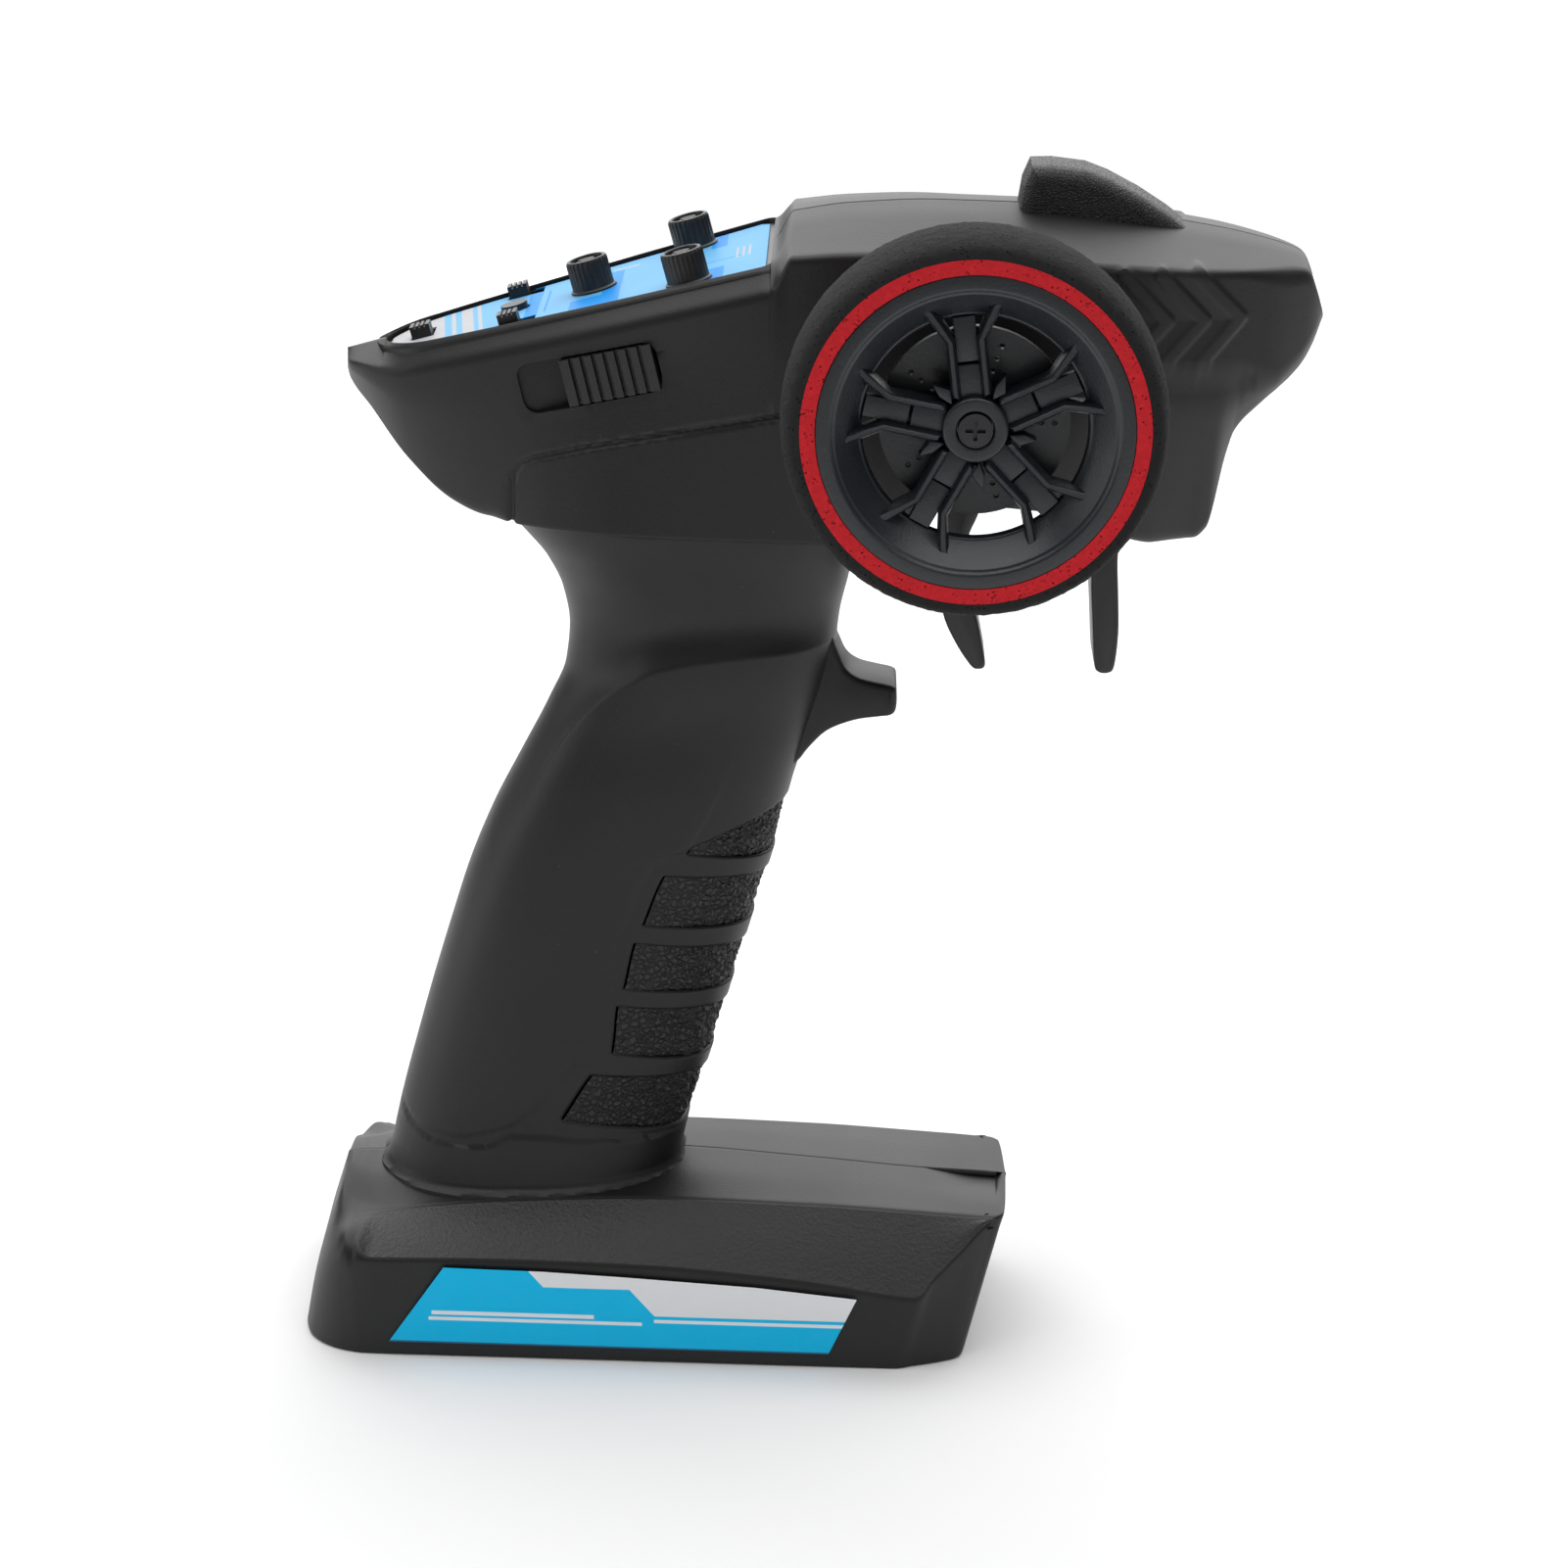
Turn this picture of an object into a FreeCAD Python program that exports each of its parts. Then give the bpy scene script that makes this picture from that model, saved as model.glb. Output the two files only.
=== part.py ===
import FreeCAD, Part
import math
import os

# Pistol-grip radio transmitter. Millimetres, +X forward, +Y to the left, +Z up.
# Origin: centre plane, middle of the base's underside.
V = FreeCAD.Vector
X_AXIS = V(1, 0, 0)
Y_AXIS = V(0, 1, 0)
Z_AXIS = V(0, 0, 1)

# ---------------------------------------------------------------- driving sizes
WALL = 2.0                    # moulded shell wall
FIT = 0.3                     # gap between a moving part and what guides it
SEAT = 0.15                   # gap between a fixed part and its pocket
RUNNING = 0.05                # radial gap of a shaft in its bearing

BASE_HALF_WIDTH = 29.0
BASE_RIDGE = 17.6             # half width of the flat strip on top of the base
BASE_REAR = -60.7
BASE_FRONT = 57.8
BASE_HEIGHT = 27.0
BASE_SIDE_HEIGHT = 16.8       # top of the upright side face

GRIP_FOOT = 18.0              # height where the grip starts, inside the base
HEAD_FLOOR = 140.0            # underside of the head, where the grip ends
GRIP_HALF_WIDTH = 16.2
GRIP_SKIN = 1.2               # thickness of the textured pads
SPUR_HALF_WIDTH = 6.5

HEAD_HALF_WIDTH = 27.0
HEAD_DEPTH = 51.5             # underside to the highest point of the roof
HEAD_WAIST = 27.0             # height of the side groove over the underside

PANEL_TILT = 16.07            # degrees, the panel climbs towards the front
PANEL_RISE = 39.3             # panel surface over the underside, at X = 0
PANEL_RIM = 1.0               # rim above the panel surface
PANEL_PLATE = 1.6
LABEL_SHEET = 0.25
PANEL_LEDGE = 1.8
PANEL_BAND = 1.8
SWITCH_HALF = 2.6
PANEL_BOARD_DROP = 8.5        # panel surface to the top of the small board
BOARD = 1.2

WHEEL_X = 45.5
WHEEL_RISE = 27.7             # steering axis over the underside of the head
WHEEL_FACE = -60.0            # Y of the wheel's outer face
WHEEL_WIDTH = 20.0
TYRE_RADIUS = 29.3
FOAM_SEAM_RADIUS = 26.0       # between the black and the red foam
RIM_RADIUS = 24.3
DISH_RADIUS = 16.8            # opening inside the dished lip
HUB_RADIUS = 4.2
SPOKES = 5
SPOKE_ROOT_ANGLE = 26.0
RAIL_INNER = 1.5
RAIL_OUTER = 3.1
KNEE_RADIUS = 14.1
TIP_RADIUS = 19.3
TIP_ANGLE = 21.0
DISC_RADIUS = 14.4
SHAFT_RADIUS = 3.0
BUSH_WALL = 1.8

TRIGGER_X = 57.0
TRIGGER_RISE = 9.0            # pivot over the underside of the head
TRIGGER_HALF_WIDTH = 6.0
PIVOT_RADIUS = 1.5
PRONG = 2.4                   # prong thickness
FINGER_GAP = 17.6

KNOB_RADIUS = 3.45
KNOB_HEIGHT = 5.2
KNOB_STEM = 1.5
KNOB_PLACES = [("front_right", 1.3, -14.0), ("front_left", 1.3, 14.0), ("middle", -15.0, 0.0)]
POT_HALF = 4.0
REVERSE_PLACES = [("right", -28.2, -10.9), ("left", -28.2, 10.9)]
TOGGLE_HALF = 1.6
TOGGLE_PROUD = 2.0
REVERSE_TRAVEL = 2.2
POWER_PLACE = (-43.4, -2.4)
POWER_TRAVEL = 2.6
BUTTON_PLACE = (-28.2, 0.0)
BUTTON_RADIUS = 2.2
BUTTON_PROUD = 1.0
BUTTON_TRAVEL = 0.5

SLIDER_X = -14.0              # middle of the side slider's pocket
SLIDER_RISE = 25.2            # and its height over the underside
SLIDER_TILT = 14.5
SLIDER_LENGTH = 15.0
SLIDER_HEIGHT = 7.5
SLIDER_TRAVEL = 7.0

CELL_RADIUS = 7.1
CELL_LENGTH = 49.5
CELL_GAP = 0.6
TRAY_WALL = 0.8
DOOR_HALF_WIDTH = 16.0
DOOR_TRAVEL = 12.0
CONTACT = 0.5
BAY_SETBACK = 10.6            # base nose to the front of the battery bay

SCREW_RADIUS = 1.3
SCREW_HEAD_RADIUS = 2.6
SCREW_HEAD = 1.6
POST_RADIUS = 3.6

nodes = {}


# ---------------------------------------------------------------- helpers
def box(x0, x1, y0, y1, z0, z1):
    return Part.makeBox(x1 - x0, y1 - y0, z1 - z0, V(x0, y0, z0))


def cylinder(start, axis, radius, length):
    return Part.makeCylinder(radius, length, start, axis)


def ring(start, axis, outer, inner, length):
    return cylinder(start, axis, outer, length).cut(cylinder(start, axis, inner, length))


def prism_xz(points, y0, y1):
    """Side outline, a list of (x, z), extruded from y0 to y1."""
    wire = Part.makePolygon([V(x, y0, z) for x, z in points + points[:1]])
    return Part.Face(wire).extrude(V(0, y1 - y0, 0))


def prism_xy(points, z0, z1):
    """Plan outline, a list of (x, y), extruded from z0 to z1."""
    wire = Part.makePolygon([V(x, y, z0) for x, y in points + points[:1]])
    return Part.Face(wire).extrude(V(0, 0, z1 - z0))


def along(line, x):
    """Value at x of a line given as (x, value) stops, straight between the stops."""
    if x <= line[0][0]:
        return line[0][1]
    for (x0, v0), (x1, v1) in zip(line, line[1:]):
        if x <= x1:
            return v0 + (v1 - v0) * (x - x0) / (x1 - x0)
    return line[-1][1]


def mirrored(shape):
    return shape.mirror(V(0, 0, 0), Y_AXIS)


def right_half(shape):
    return shape.common(box(-100, 150, -60, 0, -5, 260))


def left_half(shape):
    return shape.common(box(-100, 150, 0, 60, -5, 260))


def save(name, shape):
    nodes[name] = shape


# ---------------------------------------------------------------- base
# Heights of the flat strip's middle and edge and of the side face's top edge,
# as shares of the way along the base.
base_length = BASE_FRONT - BASE_REAR
base_stations = [BASE_REAR, -48.0, 3.0, 42.0, BASE_FRONT]


def base_section(x, inset):
    """Half section of the base: flat top strip, sloped shoulder, upright side."""
    middle = along([(BASE_REAR, 24.0), (3.0, BASE_HEIGHT), (BASE_FRONT, 23.6)], x) - inset
    edge = along([(BASE_REAR, 19.6), (3.0, 25.2), (BASE_FRONT, 23.0)], x) - inset
    side = along([(BASE_REAR, BASE_SIDE_HEIGHT), (3.0, BASE_SIDE_HEIGHT - 0.4),
                  (42.0, 12.6), (BASE_FRONT, 11.0)], x) - inset * 0.8
    half = BASE_HALF_WIDTH - inset
    ridge = BASE_RIDGE - inset * 0.4
    points = [(0, inset), (half, inset), (half, side), (ridge, edge), (0, middle)]
    return Part.makePolygon([V(x, y, z) for y, z in points + points[:1]])


def base_half_solid(inset):
    """Left half of the base's outer shape, moved inwards by inset."""
    stations = [BASE_REAR + inset] + base_stations[1:-1] + [BASE_FRONT - inset]
    loft = Part.makeLoft([base_section(x, inset) for x in stations], True, True)
    rear = BASE_REAR + inset
    front = BASE_FRONT - inset
    half = BASE_HALF_WIDTH - inset
    corner = 12.0 - inset
    steps = 6
    plan = [(rear, 0)]
    for i in range(steps + 1):
        turn = math.radians(90.0 * i / steps)
        plan.append((rear + corner * (1 - math.cos(turn)), half - corner * (1 - math.sin(turn))))
    plan += [(40.0 - inset * 0.4, half), (front - 1.0, BASE_RIDGE - inset), (front, BASE_RIDGE - 3 - inset),
             (front, 0)]
    side = [(rear, 3.0), (rear + 1.5, inset), (front - 8.5, inset), (front - 0.6, 21.0), (front, 22.0),
            (front, 30.0), (rear + 6.0, 30.0)]
    return loft.common(prism_xy(plan, -1, 40)).common(prism_xz(side, -1, BASE_HALF_WIDTH + 5))


# ---------------------------------------------------------------- grip
grip_height = HEAD_FLOOR - GRIP_FOOT
GRIP_STOPS = [0.0, 0.10, 0.27, 0.45, 0.62, 0.73, 0.83, 0.91, 1.0]
GRIP_REAR = [(0.0, -48.6), (0.10, -46.7), (0.27, -41.9), (0.45, -34.4), (0.62, -25.2), (0.73, -20.4),
             (0.83, -18.5), (0.91, -20.3), (1.0, -29.0)]
GRIP_FRONT = [(0.0, 1.4), (0.10, 3.2), (0.27, 8.2), (0.45, 14.0), (0.62, 18.7), (0.73, 22.3), (0.83, 26.0),
              (0.91, 27.6), (1.0, 30.0)]
GRIP_WIDTH = [(0.0, -0.6), (0.10, -0.4), (0.27, 0.0), (0.45, 0.4), (0.62, 0.2), (0.73, -1.0), (0.83, -1.0),
              (0.91, 1.2), (1.0, 5.6)]


def grip_section(share, inset):
    """Half of a rounded section across the grip, closed on the centre plane."""
    z = GRIP_FOOT + share * grip_height
    rear = along(GRIP_REAR, share) + inset
    front = along(GRIP_FRONT, share) - inset
    half = GRIP_HALF_WIDTH + along(GRIP_WIDTH, share) - inset
    middle = (rear + front) / 2
    reach = (front - rear) / 2
    points = []
    steps = 10
    power = 0.84
    for i in range(steps + 1):
        turn = math.pi * i / steps
        c = math.cos(turn)
        s = max(math.sin(turn), 0.0)
        points.append(V(middle + reach * math.copysign(abs(c) ** power, c), half * s ** power, z))
    points[0] = V(front, 0, z)
    points[-1] = V(rear, 0, z)
    curve = Part.BSplineCurve()
    curve.interpolate(points)
    return Part.Wire([curve.toShape(), Part.LineSegment(points[-1], points[0]).toShape()])


def grip_half_solid(inset):
    return Part.makeLoft([grip_section(share, inset) for share in GRIP_STOPS], True, False)


def spur_solid():
    """Finger spur: the hook on the front of the grip, under the trigger."""
    z = GRIP_FOOT + 0.745 * grip_height
    x = along(GRIP_FRONT, 0.745)
    outline = [(x - 5, z + 11), (x + 3.2, z + 10), (x + 4.2, z + 6.6), (x + 6.4, z + 4.8),
               (x + 12.6, z + 3.2), (x + 13.2, z + 1.2), (x + 12.8, z - 1.0), (x + 11.6, z - 2.2),
               (x + 6.0, z - 3.2), (x + 1.6, z - 5.0), (x - 2.0, z - 8.2), (x - 5, z - 12)]
    return prism_xz(outline, -SPUR_HALF_WIDTH, SPUR_HALF_WIDTH)


def pad_region():
    """Block seen from the side that holds the textured front of the grip."""
    def at(share, forward):
        return (along(GRIP_FRONT, share) - forward, GRIP_FOOT + share * grip_height)
    outline = [at(0.655, -5), at(0.655, 1), at(0.63, 9), at(0.56, 20), at(0.45, 24), at(0.30, 26),
               at(0.18, 29), at(0.115, 30), at(0.115, -8)]
    return prism_xz(outline, -40, 40)


# ---------------------------------------------------------------- head
PANEL_SIN = math.sin(math.radians(PANEL_TILT))
PANEL_COS = math.cos(math.radians(PANEL_TILT))
PANEL_HOME = V(0, 0, HEAD_FLOOR + PANEL_RISE)


def panel_height(x):
    """Height of the panel surface over the underside of the head."""
    return PANEL_RISE + x * PANEL_SIN / PANEL_COS


def on_panel(shape):
    """Moves a shape from panel coordinates (along, left, out) to its place."""
    placed = shape.copy()
    placed.Placement = FreeCAD.Placement(PANEL_HOME, FreeCAD.Rotation(Y_AXIS, -PANEL_TILT)).multiply(
        placed.Placement)
    return placed


PANEL_FRONT = 14.0
PANEL_REAR = -49.8            # along the panel's own slope
PANEL_ROUND = 8.6             # length of the rounded rear end
STEP_FOOT = 14.6
STEP_TOP = 17.6
HEAD_STATIONS = [-54.2, -50.0, -44.0, -36.0, -26.0, -10.0, STEP_FOOT, STEP_TOP, 26.0, 40.0, 56.0, 72.0,
                 78.0, 84.0, 92.0, 98.0, 102.4]
WIDTH_SHARE = [(-54.2, 0.10), (-50.0, 0.30), (-44.0, 0.44), (-36.0, 0.545), (-26.0, 0.64), (-10.0, 0.765),
               (14.6, 0.91), (26.0, 0.955), (40.0, 0.985), (56.0, 1.0), (72.0, 0.95), (78.0, 0.905),
               (84.0, 0.83), (92.0, 0.63), (98.0, 0.40), (102.4, 0.12)]
ROOF = [(STEP_TOP, -2.4), (26.0, -0.9), (40.0, 0.0), (56.0, -0.1), (72.0, -1.4), (84.0, -3.0), (92.0, -4.6),
        (98.0, -7.0), (102.4, -16.5)]
SHOULDER_DROP = [(STEP_TOP, 2.8), (26.0, 3.4), (56.0, 4.2), (78.0, 3.4), (92.0, 2.6), (102.4, 1.0)]
KEEL = [(-54.2, 20.6), (-50.0, 15.6), (-44.0, 8.6), (-36.0, 2.2), (-26.0, 0.0), (84.0, 0.0), (87.8, 17.0),
        (92.0, 22.0), (98.0, 27.5), (102.4, 33.2)]
KEEL_SHARE = [(-54.2, 0.06), (-44.0, 0.26), (-36.0, 0.40), (-26.0, 0.60), (-10.0, 0.70), (26.0, 0.84),
              (56.0, 0.84), (72.0, 0.66), (84.0, 0.42), (92.0, 0.34), (102.4, 0.06)]


def head_half_width(x):
    return HEAD_HALF_WIDTH * along(WIDTH_SHARE, x)


def head_top(x):
    """Height of the roof or of the panel's rim over the underside."""
    if x < (STEP_FOOT + STEP_TOP) / 2:
        return panel_height(x) + PANEL_RIM / PANEL_COS
    return HEAD_DEPTH + along(ROOF, x)


def panel_half_width(x):
    """Half width of the panel, inside the head's shoulder."""
    return head_half_width(x) * 0.88 - PANEL_BAND


def head_section(x, inset, roof_inset):
    """Half section of the head: roof, shoulder, waist, lower side and keel."""
    half = head_half_width(x)
    top = head_top(x)
    if x < (STEP_FOOT + STEP_TOP) / 2:
        inner_roof = max(panel_half_width(x) + 0.6, half * 0.5)
        shoulder = top - 4.0
        crown = top
    else:
        inner_roof = half * 0.5
        shoulder = top - along(SHOULDER_DROP, x)
        crown = top - 0.3 * along(SHOULDER_DROP, x)
    keel = along(KEEL, x)
    shoulder = max(shoulder, keel + (top - keel) * 0.5)
    waist = min(max(HEAD_WAIST, keel + 3.0), keel + (shoulder - keel) * 0.72)
    keel_half = HEAD_HALF_WIDTH * along(KEEL_SHARE, x)
    points = [(0, top - roof_inset), (inner_roof - inset, crown - roof_inset),
              (half - inset, shoulder - roof_inset * 0.7),
              (half * 0.965 - inset, waist), (keel_half - inset * 0.7, keel + inset), (0, keel + inset)]
    return Part.makePolygon([V(x, max(y, 0), HEAD_FLOOR + z) for y, z in points + points[:1]])


def head_half_solid():
    return Part.makeLoft([head_section(x, 0, 0) for x in HEAD_STATIONS], True, True)


def head_half_cavity():
    """Left half of the room inside the head, lower under the panel for its seat."""
    under_panel = (PANEL_RIM + PANEL_PLATE + PANEL_LEDGE) / PANEL_COS
    rear = [x for x in HEAD_STATIONS if -45 < x <= STEP_FOOT] + [STEP_FOOT + 2.5]
    front = [STEP_FOOT + 2.5] + [x for x in HEAD_STATIONS if 26 <= x < 95]
    rear_room = Part.makeLoft([head_section(min(x, STEP_FOOT), WALL, under_panel).translated(
        V(max(x - STEP_FOOT, 0), 0, 0)) for x in rear], True, True)
    front_room = Part.makeLoft([head_section(max(x, STEP_TOP + 1), WALL, WALL).translated(
        V(min(x - STEP_TOP - 1, 0), 0, 0)) for x in front], True, True)
    return rear_room.fuse(front_room)


def panel_outline(inset):
    """Panel outline in panel coordinates: a half ellipse at the rear, clipped corners at the front."""
    rear = PANEL_REAR + inset
    front = PANEL_FRONT / PANEL_COS - inset
    side = []
    for degrees in (15, 30, 45, 60, 75, 90):
        turn = math.radians(degrees)
        s = rear + PANEL_ROUND * (1 - math.cos(turn))
        side.append((s, (panel_half_width(s * PANEL_COS) - inset) * math.sin(turn)))
    side += [(s, panel_half_width(s * PANEL_COS) - inset) for s in (-34.0, -28.0, -16.0, -4.0, 8.0)]
    last = panel_half_width(front) - inset
    side += [(front - 1.4, last), (front, last - 1.6)]
    return side + [(s, -y) for s, y in reversed(side)]


def panel_prism(inset, low, high):
    return on_panel(prism_xy(panel_outline(inset), low, high))


def pivot_point(y):
    return V(TRIGGER_X, y, HEAD_FLOOR + TRIGGER_RISE)


def wheel_point(y):
    return V(WHEEL_X, y, HEAD_FLOOR + WHEEL_RISE)


# ---------------------------------------------------------------- case screws
# Each screw runs along Y through posts in both halves; its head is on the left.
CASE_SCREWS = [(-27.0, HEAD_FLOOR + 12.5), (24.0, HEAD_FLOOR + 23.0), (81.5, HEAD_FLOOR + 9.0),
               (82.0, HEAD_FLOOR + 36.0), (2.0, GRIP_FOOT + 0.77 * grip_height),
               (-14.0, GRIP_FOOT + 0.35 * grip_height)]
SCREW_SEAT = 9.0              # Y of the face under the screw head
SCREW_GRIP = 7.0              # thread length in the right half


def post(x, z, outer):
    return cylinder(V(x, -40, z), Y_AXIS, POST_RADIUS, 80).common(outer)


def screw_holes(x, z):
    """Counterbore and through hole on the left, pilot hole on the right."""
    head = cylinder(V(x, SCREW_SEAT, z), Y_AXIS, SCREW_HEAD_RADIUS + SEAT, 40)
    through = cylinder(V(x, 0, z), Y_AXIS, SCREW_RADIUS + SEAT, SCREW_SEAT)
    pilot = cylinder(V(x, -SCREW_GRIP, z), Y_AXIS, SCREW_RADIUS, SCREW_GRIP)
    return head.fuse([through, pilot])


def screw(seat, axis, shank):
    """Pan head screw: head standing out of its seat, shank into it, cross slot."""
    head = cylinder(seat, axis, SCREW_HEAD_RADIUS, SCREW_HEAD)
    body = head.fuse(cylinder(seat, axis * -1, SCREW_RADIUS, shank))
    slot_depth = 0.8
    top = seat + axis * (SCREW_HEAD - slot_depth)
    across = V(0, 0, 1) if abs(axis.z) < 0.5 else V(1, 0, 0)
    other = axis.cross(across)
    for a, b in [(across, other), (other, across)]:
        slot = Part.makePolygon([top + a * p + b * q for p, q in
                                 [(-1.5, -0.3), (1.5, -0.3), (1.5, 0.3), (-1.5, 0.3), (-1.5, -0.3)]])
        body = body.cut(Part.Face(slot).extrude(axis * 2))
    return body


# ---------------------------------------------------------------- build the case
base_outer_left = base_half_solid(0)
base_outer = base_outer_left.fuse(mirrored(base_outer_left))
base_room_left = base_half_solid(WALL)
base_room = base_room_left.fuse(mirrored(base_room_left))

grip_outer_left = grip_half_solid(0)
grip_outer = grip_outer_left.fuse(mirrored(grip_outer_left))
grip_under_left = grip_half_solid(GRIP_SKIN)
grip_under = grip_under_left.fuse(mirrored(grip_under_left))
grip_room_left = grip_half_solid(WALL + GRIP_SKIN)
grip_room = grip_room_left.fuse(mirrored(grip_room_left))

head_outer_left = head_half_solid()
head_outer = head_outer_left.fuse(mirrored(head_outer_left))
head_room_left = head_half_cavity()
head_room = head_room_left.fuse(mirrored(head_room_left))

# Battery bay sizes, shared by the base, tray, door, cells and contacts.
bay_front = BASE_FRONT - BAY_SETBACK
cells_length = 2 * CELL_LENGTH + CELL_GAP
cells_rear = bay_front - TRAY_WALL - CONTACT - cells_length
bay_rear = cells_rear - TRAY_WALL - CONTACT
cell_z = WALL + 0.4 + CELL_RADIUS
tray_top = cell_z + CELL_RADIUS + 0.2 + TRAY_WALL
ear_x = 30.0
ear_y = BASE_HALF_WIDTH - 7.0


def build_base():
    shell = base_outer.cut(base_room).cut(grip_outer)
    for x in (-ear_x, ear_x):
        for y in (-ear_y, ear_y):
            shell = shell.cut(cylinder(V(x, y, -1), Z_AXIS, SCREW_HEAD_RADIUS + SEAT, 2.0))
            shell = shell.cut(cylinder(V(x, y, 0), Z_AXIS, SCREW_RADIUS + SEAT, WALL + 1))
    door_hole = box(bay_rear, bay_front, -DOOR_HALF_WIDTH, DOOR_HALF_WIDTH, -1, WALL + 0.2)
    shell = shell.cut(door_hole)
    save("base_right", right_half(shell))
    save("base_left", left_half(shell))


def build_grip():
    spur = spur_solid().cut(grip_outer)
    skin = grip_outer.cut(grip_under)
    pads = skin.common(pad_region())
    shell = grip_outer.cut(grip_room).cut(pads).fuse(spur)
    for x, z in CASE_SCREWS:
        if z < HEAD_FLOOR:
            shell = shell.fuse(post(x, z, grip_outer.cut(pads)))
            shell = shell.cut(screw_holes(x, z))
    save("grip_right", right_half(shell))
    save("grip_left", left_half(shell))
    save("grip_pad_right", right_half(pads))
    save("grip_pad_left", left_half(pads))


boss_radius = SHAFT_RADIUS + RUNNING + BUSH_WALL + 2.6
boss_face = -(HEAD_HALF_WIDTH + 7.0)
boss_root = -(HEAD_HALF_WIDTH - 6.0)
slot_half = TRIGGER_HALF_WIDTH + 1.5
slot_rear = TRIGGER_X - FINGER_GAP / 2 - PRONG - 12.0
slot_front = TRIGGER_X + FINGER_GAP / 2 + PRONG + 8.0
slider_frame = FreeCAD.Placement(V(SLIDER_X, -head_half_width(SLIDER_X) * 0.985, HEAD_FLOOR + SLIDER_RISE),
                                 FreeCAD.Rotation(Y_AXIS, -SLIDER_TILT))


def on_side(shape):
    """Moves a shape from slider coordinates (along, left, up) to the right wall."""
    placed = shape.copy()
    placed.Placement = slider_frame.multiply(placed.Placement)
    return placed


SIDE_SLOPE = math.degrees(math.atan2(HEAD_HALF_WIDTH * 0.15, 24.6))
slider_frame = slider_frame.multiply(FreeCAD.Placement(V(0, 0, 0), FreeCAD.Rotation(Z_AXIS, -SIDE_SLOPE)))
slider_floor = 3.0            # pocket depth into the wall
pocket_half = (SLIDER_LENGTH + SLIDER_TRAVEL) / 2 + FIT
pocket_rise = SLIDER_HEIGHT / 2 + FIT


def build_head():
    shell = head_outer.cut(head_room)
    # Seat of the panel: a pocket for the plate on a ledge, open in the middle.
    shell = shell.cut(panel_prism(-SEAT, -PANEL_PLATE, 8))
    shell = shell.cut(panel_prism(PANEL_LEDGE, -12, 0))
    # Neck opening for the wires from the grip, and the trigger's slot.
    below = HEAD_FLOOR - 1
    above = HEAD_FLOOR + WALL + 1
    shell = shell.cut(box(-10, 16, -9, 9, below, above))
    shell = shell.cut(box(slot_rear, slot_front, -slot_half, slot_half, below, above))
    # Collar for the steering bush.
    collar = cylinder(wheel_point(boss_face), Y_AXIS, boss_radius, boss_root - boss_face)
    shell = shell.fuse(collar)
    shell = shell.cut(cylinder(wheel_point(boss_face - 1), Y_AXIS, SHAFT_RADIUS + RUNNING + BUSH_WALL,
                               boss_root - boss_face + 4))
    # Posts that carry the trigger pin and the steering potentiometer.
    for sign in (-1, 1):
        arm = cylinder(pivot_point(0), Y_AXIS * sign, POST_RADIUS, 40).common(head_outer)
        arm = arm.cut(box(0, 120, -pin_gap, pin_gap, HEAD_FLOOR, HEAD_FLOOR + 40))
        shell = shell.fuse(arm)
    pot_arm = cylinder(wheel_point(steer_pot_far), Y_AXIS, POST_RADIUS, 40).common(head_outer)
    shell = shell.fuse(pot_arm)
    shell = shell.cut(cylinder(pivot_point(-pin_half), Y_AXIS, PIVOT_RADIUS, 2 * pin_half))
    for x, z in CASE_SCREWS:
        if z > HEAD_FLOOR:
            shell = shell.fuse(post(x, z, head_outer))
            shell = shell.cut(screw_holes(x, z))
    # Posts under the main board.
    for x in (board_rear + 4, board_front - 4):
        for y in (-board_half + 3, board_half - 3):
            shell = shell.fuse(cylinder(V(x, y, HEAD_FLOOR + 1), Z_AXIS, 2.2, board_rise - 1))
    # Slider pocket with its own floor behind it, then the slot for the stem.
    cup = on_side(box(-pocket_half - 1.5, pocket_half + 1.5, 0.2, slider_floor + 1.5, -pocket_rise - 1.5,
                      pocket_rise + 1.5)).common(head_outer)
    shell = shell.fuse(cup)
    for room in panel_rooms():
        shell = shell.cut(room)
    shell = shell.cut(on_side(box(-pocket_half, pocket_half, -12, slider_floor, -pocket_rise, pocket_rise)))
    shell = shell.cut(on_side(box(-pocket_half + 4, pocket_half - 4, 0, slider_floor + 2, -1.6, 1.6)))
    # Jack opening in the sloping underside at the rear.
    shell = shell.cut(jack_placed(box(-jack_half, jack_half, -jack_half_height, jack_half_height, -8, 8)))
    shell = shell.removeSplitter()
    save("head_right", right_half(shell))
    save("head_left", left_half(shell))


# ---------------------------------------------------------------- inside the head
pin_gap = TRIGGER_HALF_WIDTH + 6.5
pin_half = pin_gap + 5.0
steer_pot_near = -9.0
steer_pot_far = 1.0
board_rear = -18.0
board_front = 33.0
board_half = 13.0
board_rise = 8.0
jack_half = 4.2
jack_half_height = 1.6
jack_x = (-36.0 + -44.0) / 2 - 0.4
jack_rise = along(KEEL, jack_x)
jack_slope = math.degrees(math.atan2(8.6 - 2.2, 8.0))


def jack_placed(shape):
    """Jack coordinates: across the head, along the slope, and out of the surface."""
    placed = shape.copy()
    turn = FreeCAD.Rotation(Y_AXIS, 180 + jack_slope).multiply(FreeCAD.Rotation(Z_AXIS, 90))
    home = FreeCAD.Placement(V(jack_x, 0, HEAD_FLOOR + jack_rise), turn)
    placed.Placement = home.multiply(placed.Placement)
    return placed


def panel_room(s0, s1, y0, y1):
    """Room in the shell for a part on the small board, in panel coordinates."""
    return on_panel(box(s0 - SEAT, s1 + SEAT, y0 - SEAT, y1 + SEAT, -PANEL_BOARD_DROP - BOARD, 0))


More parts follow.
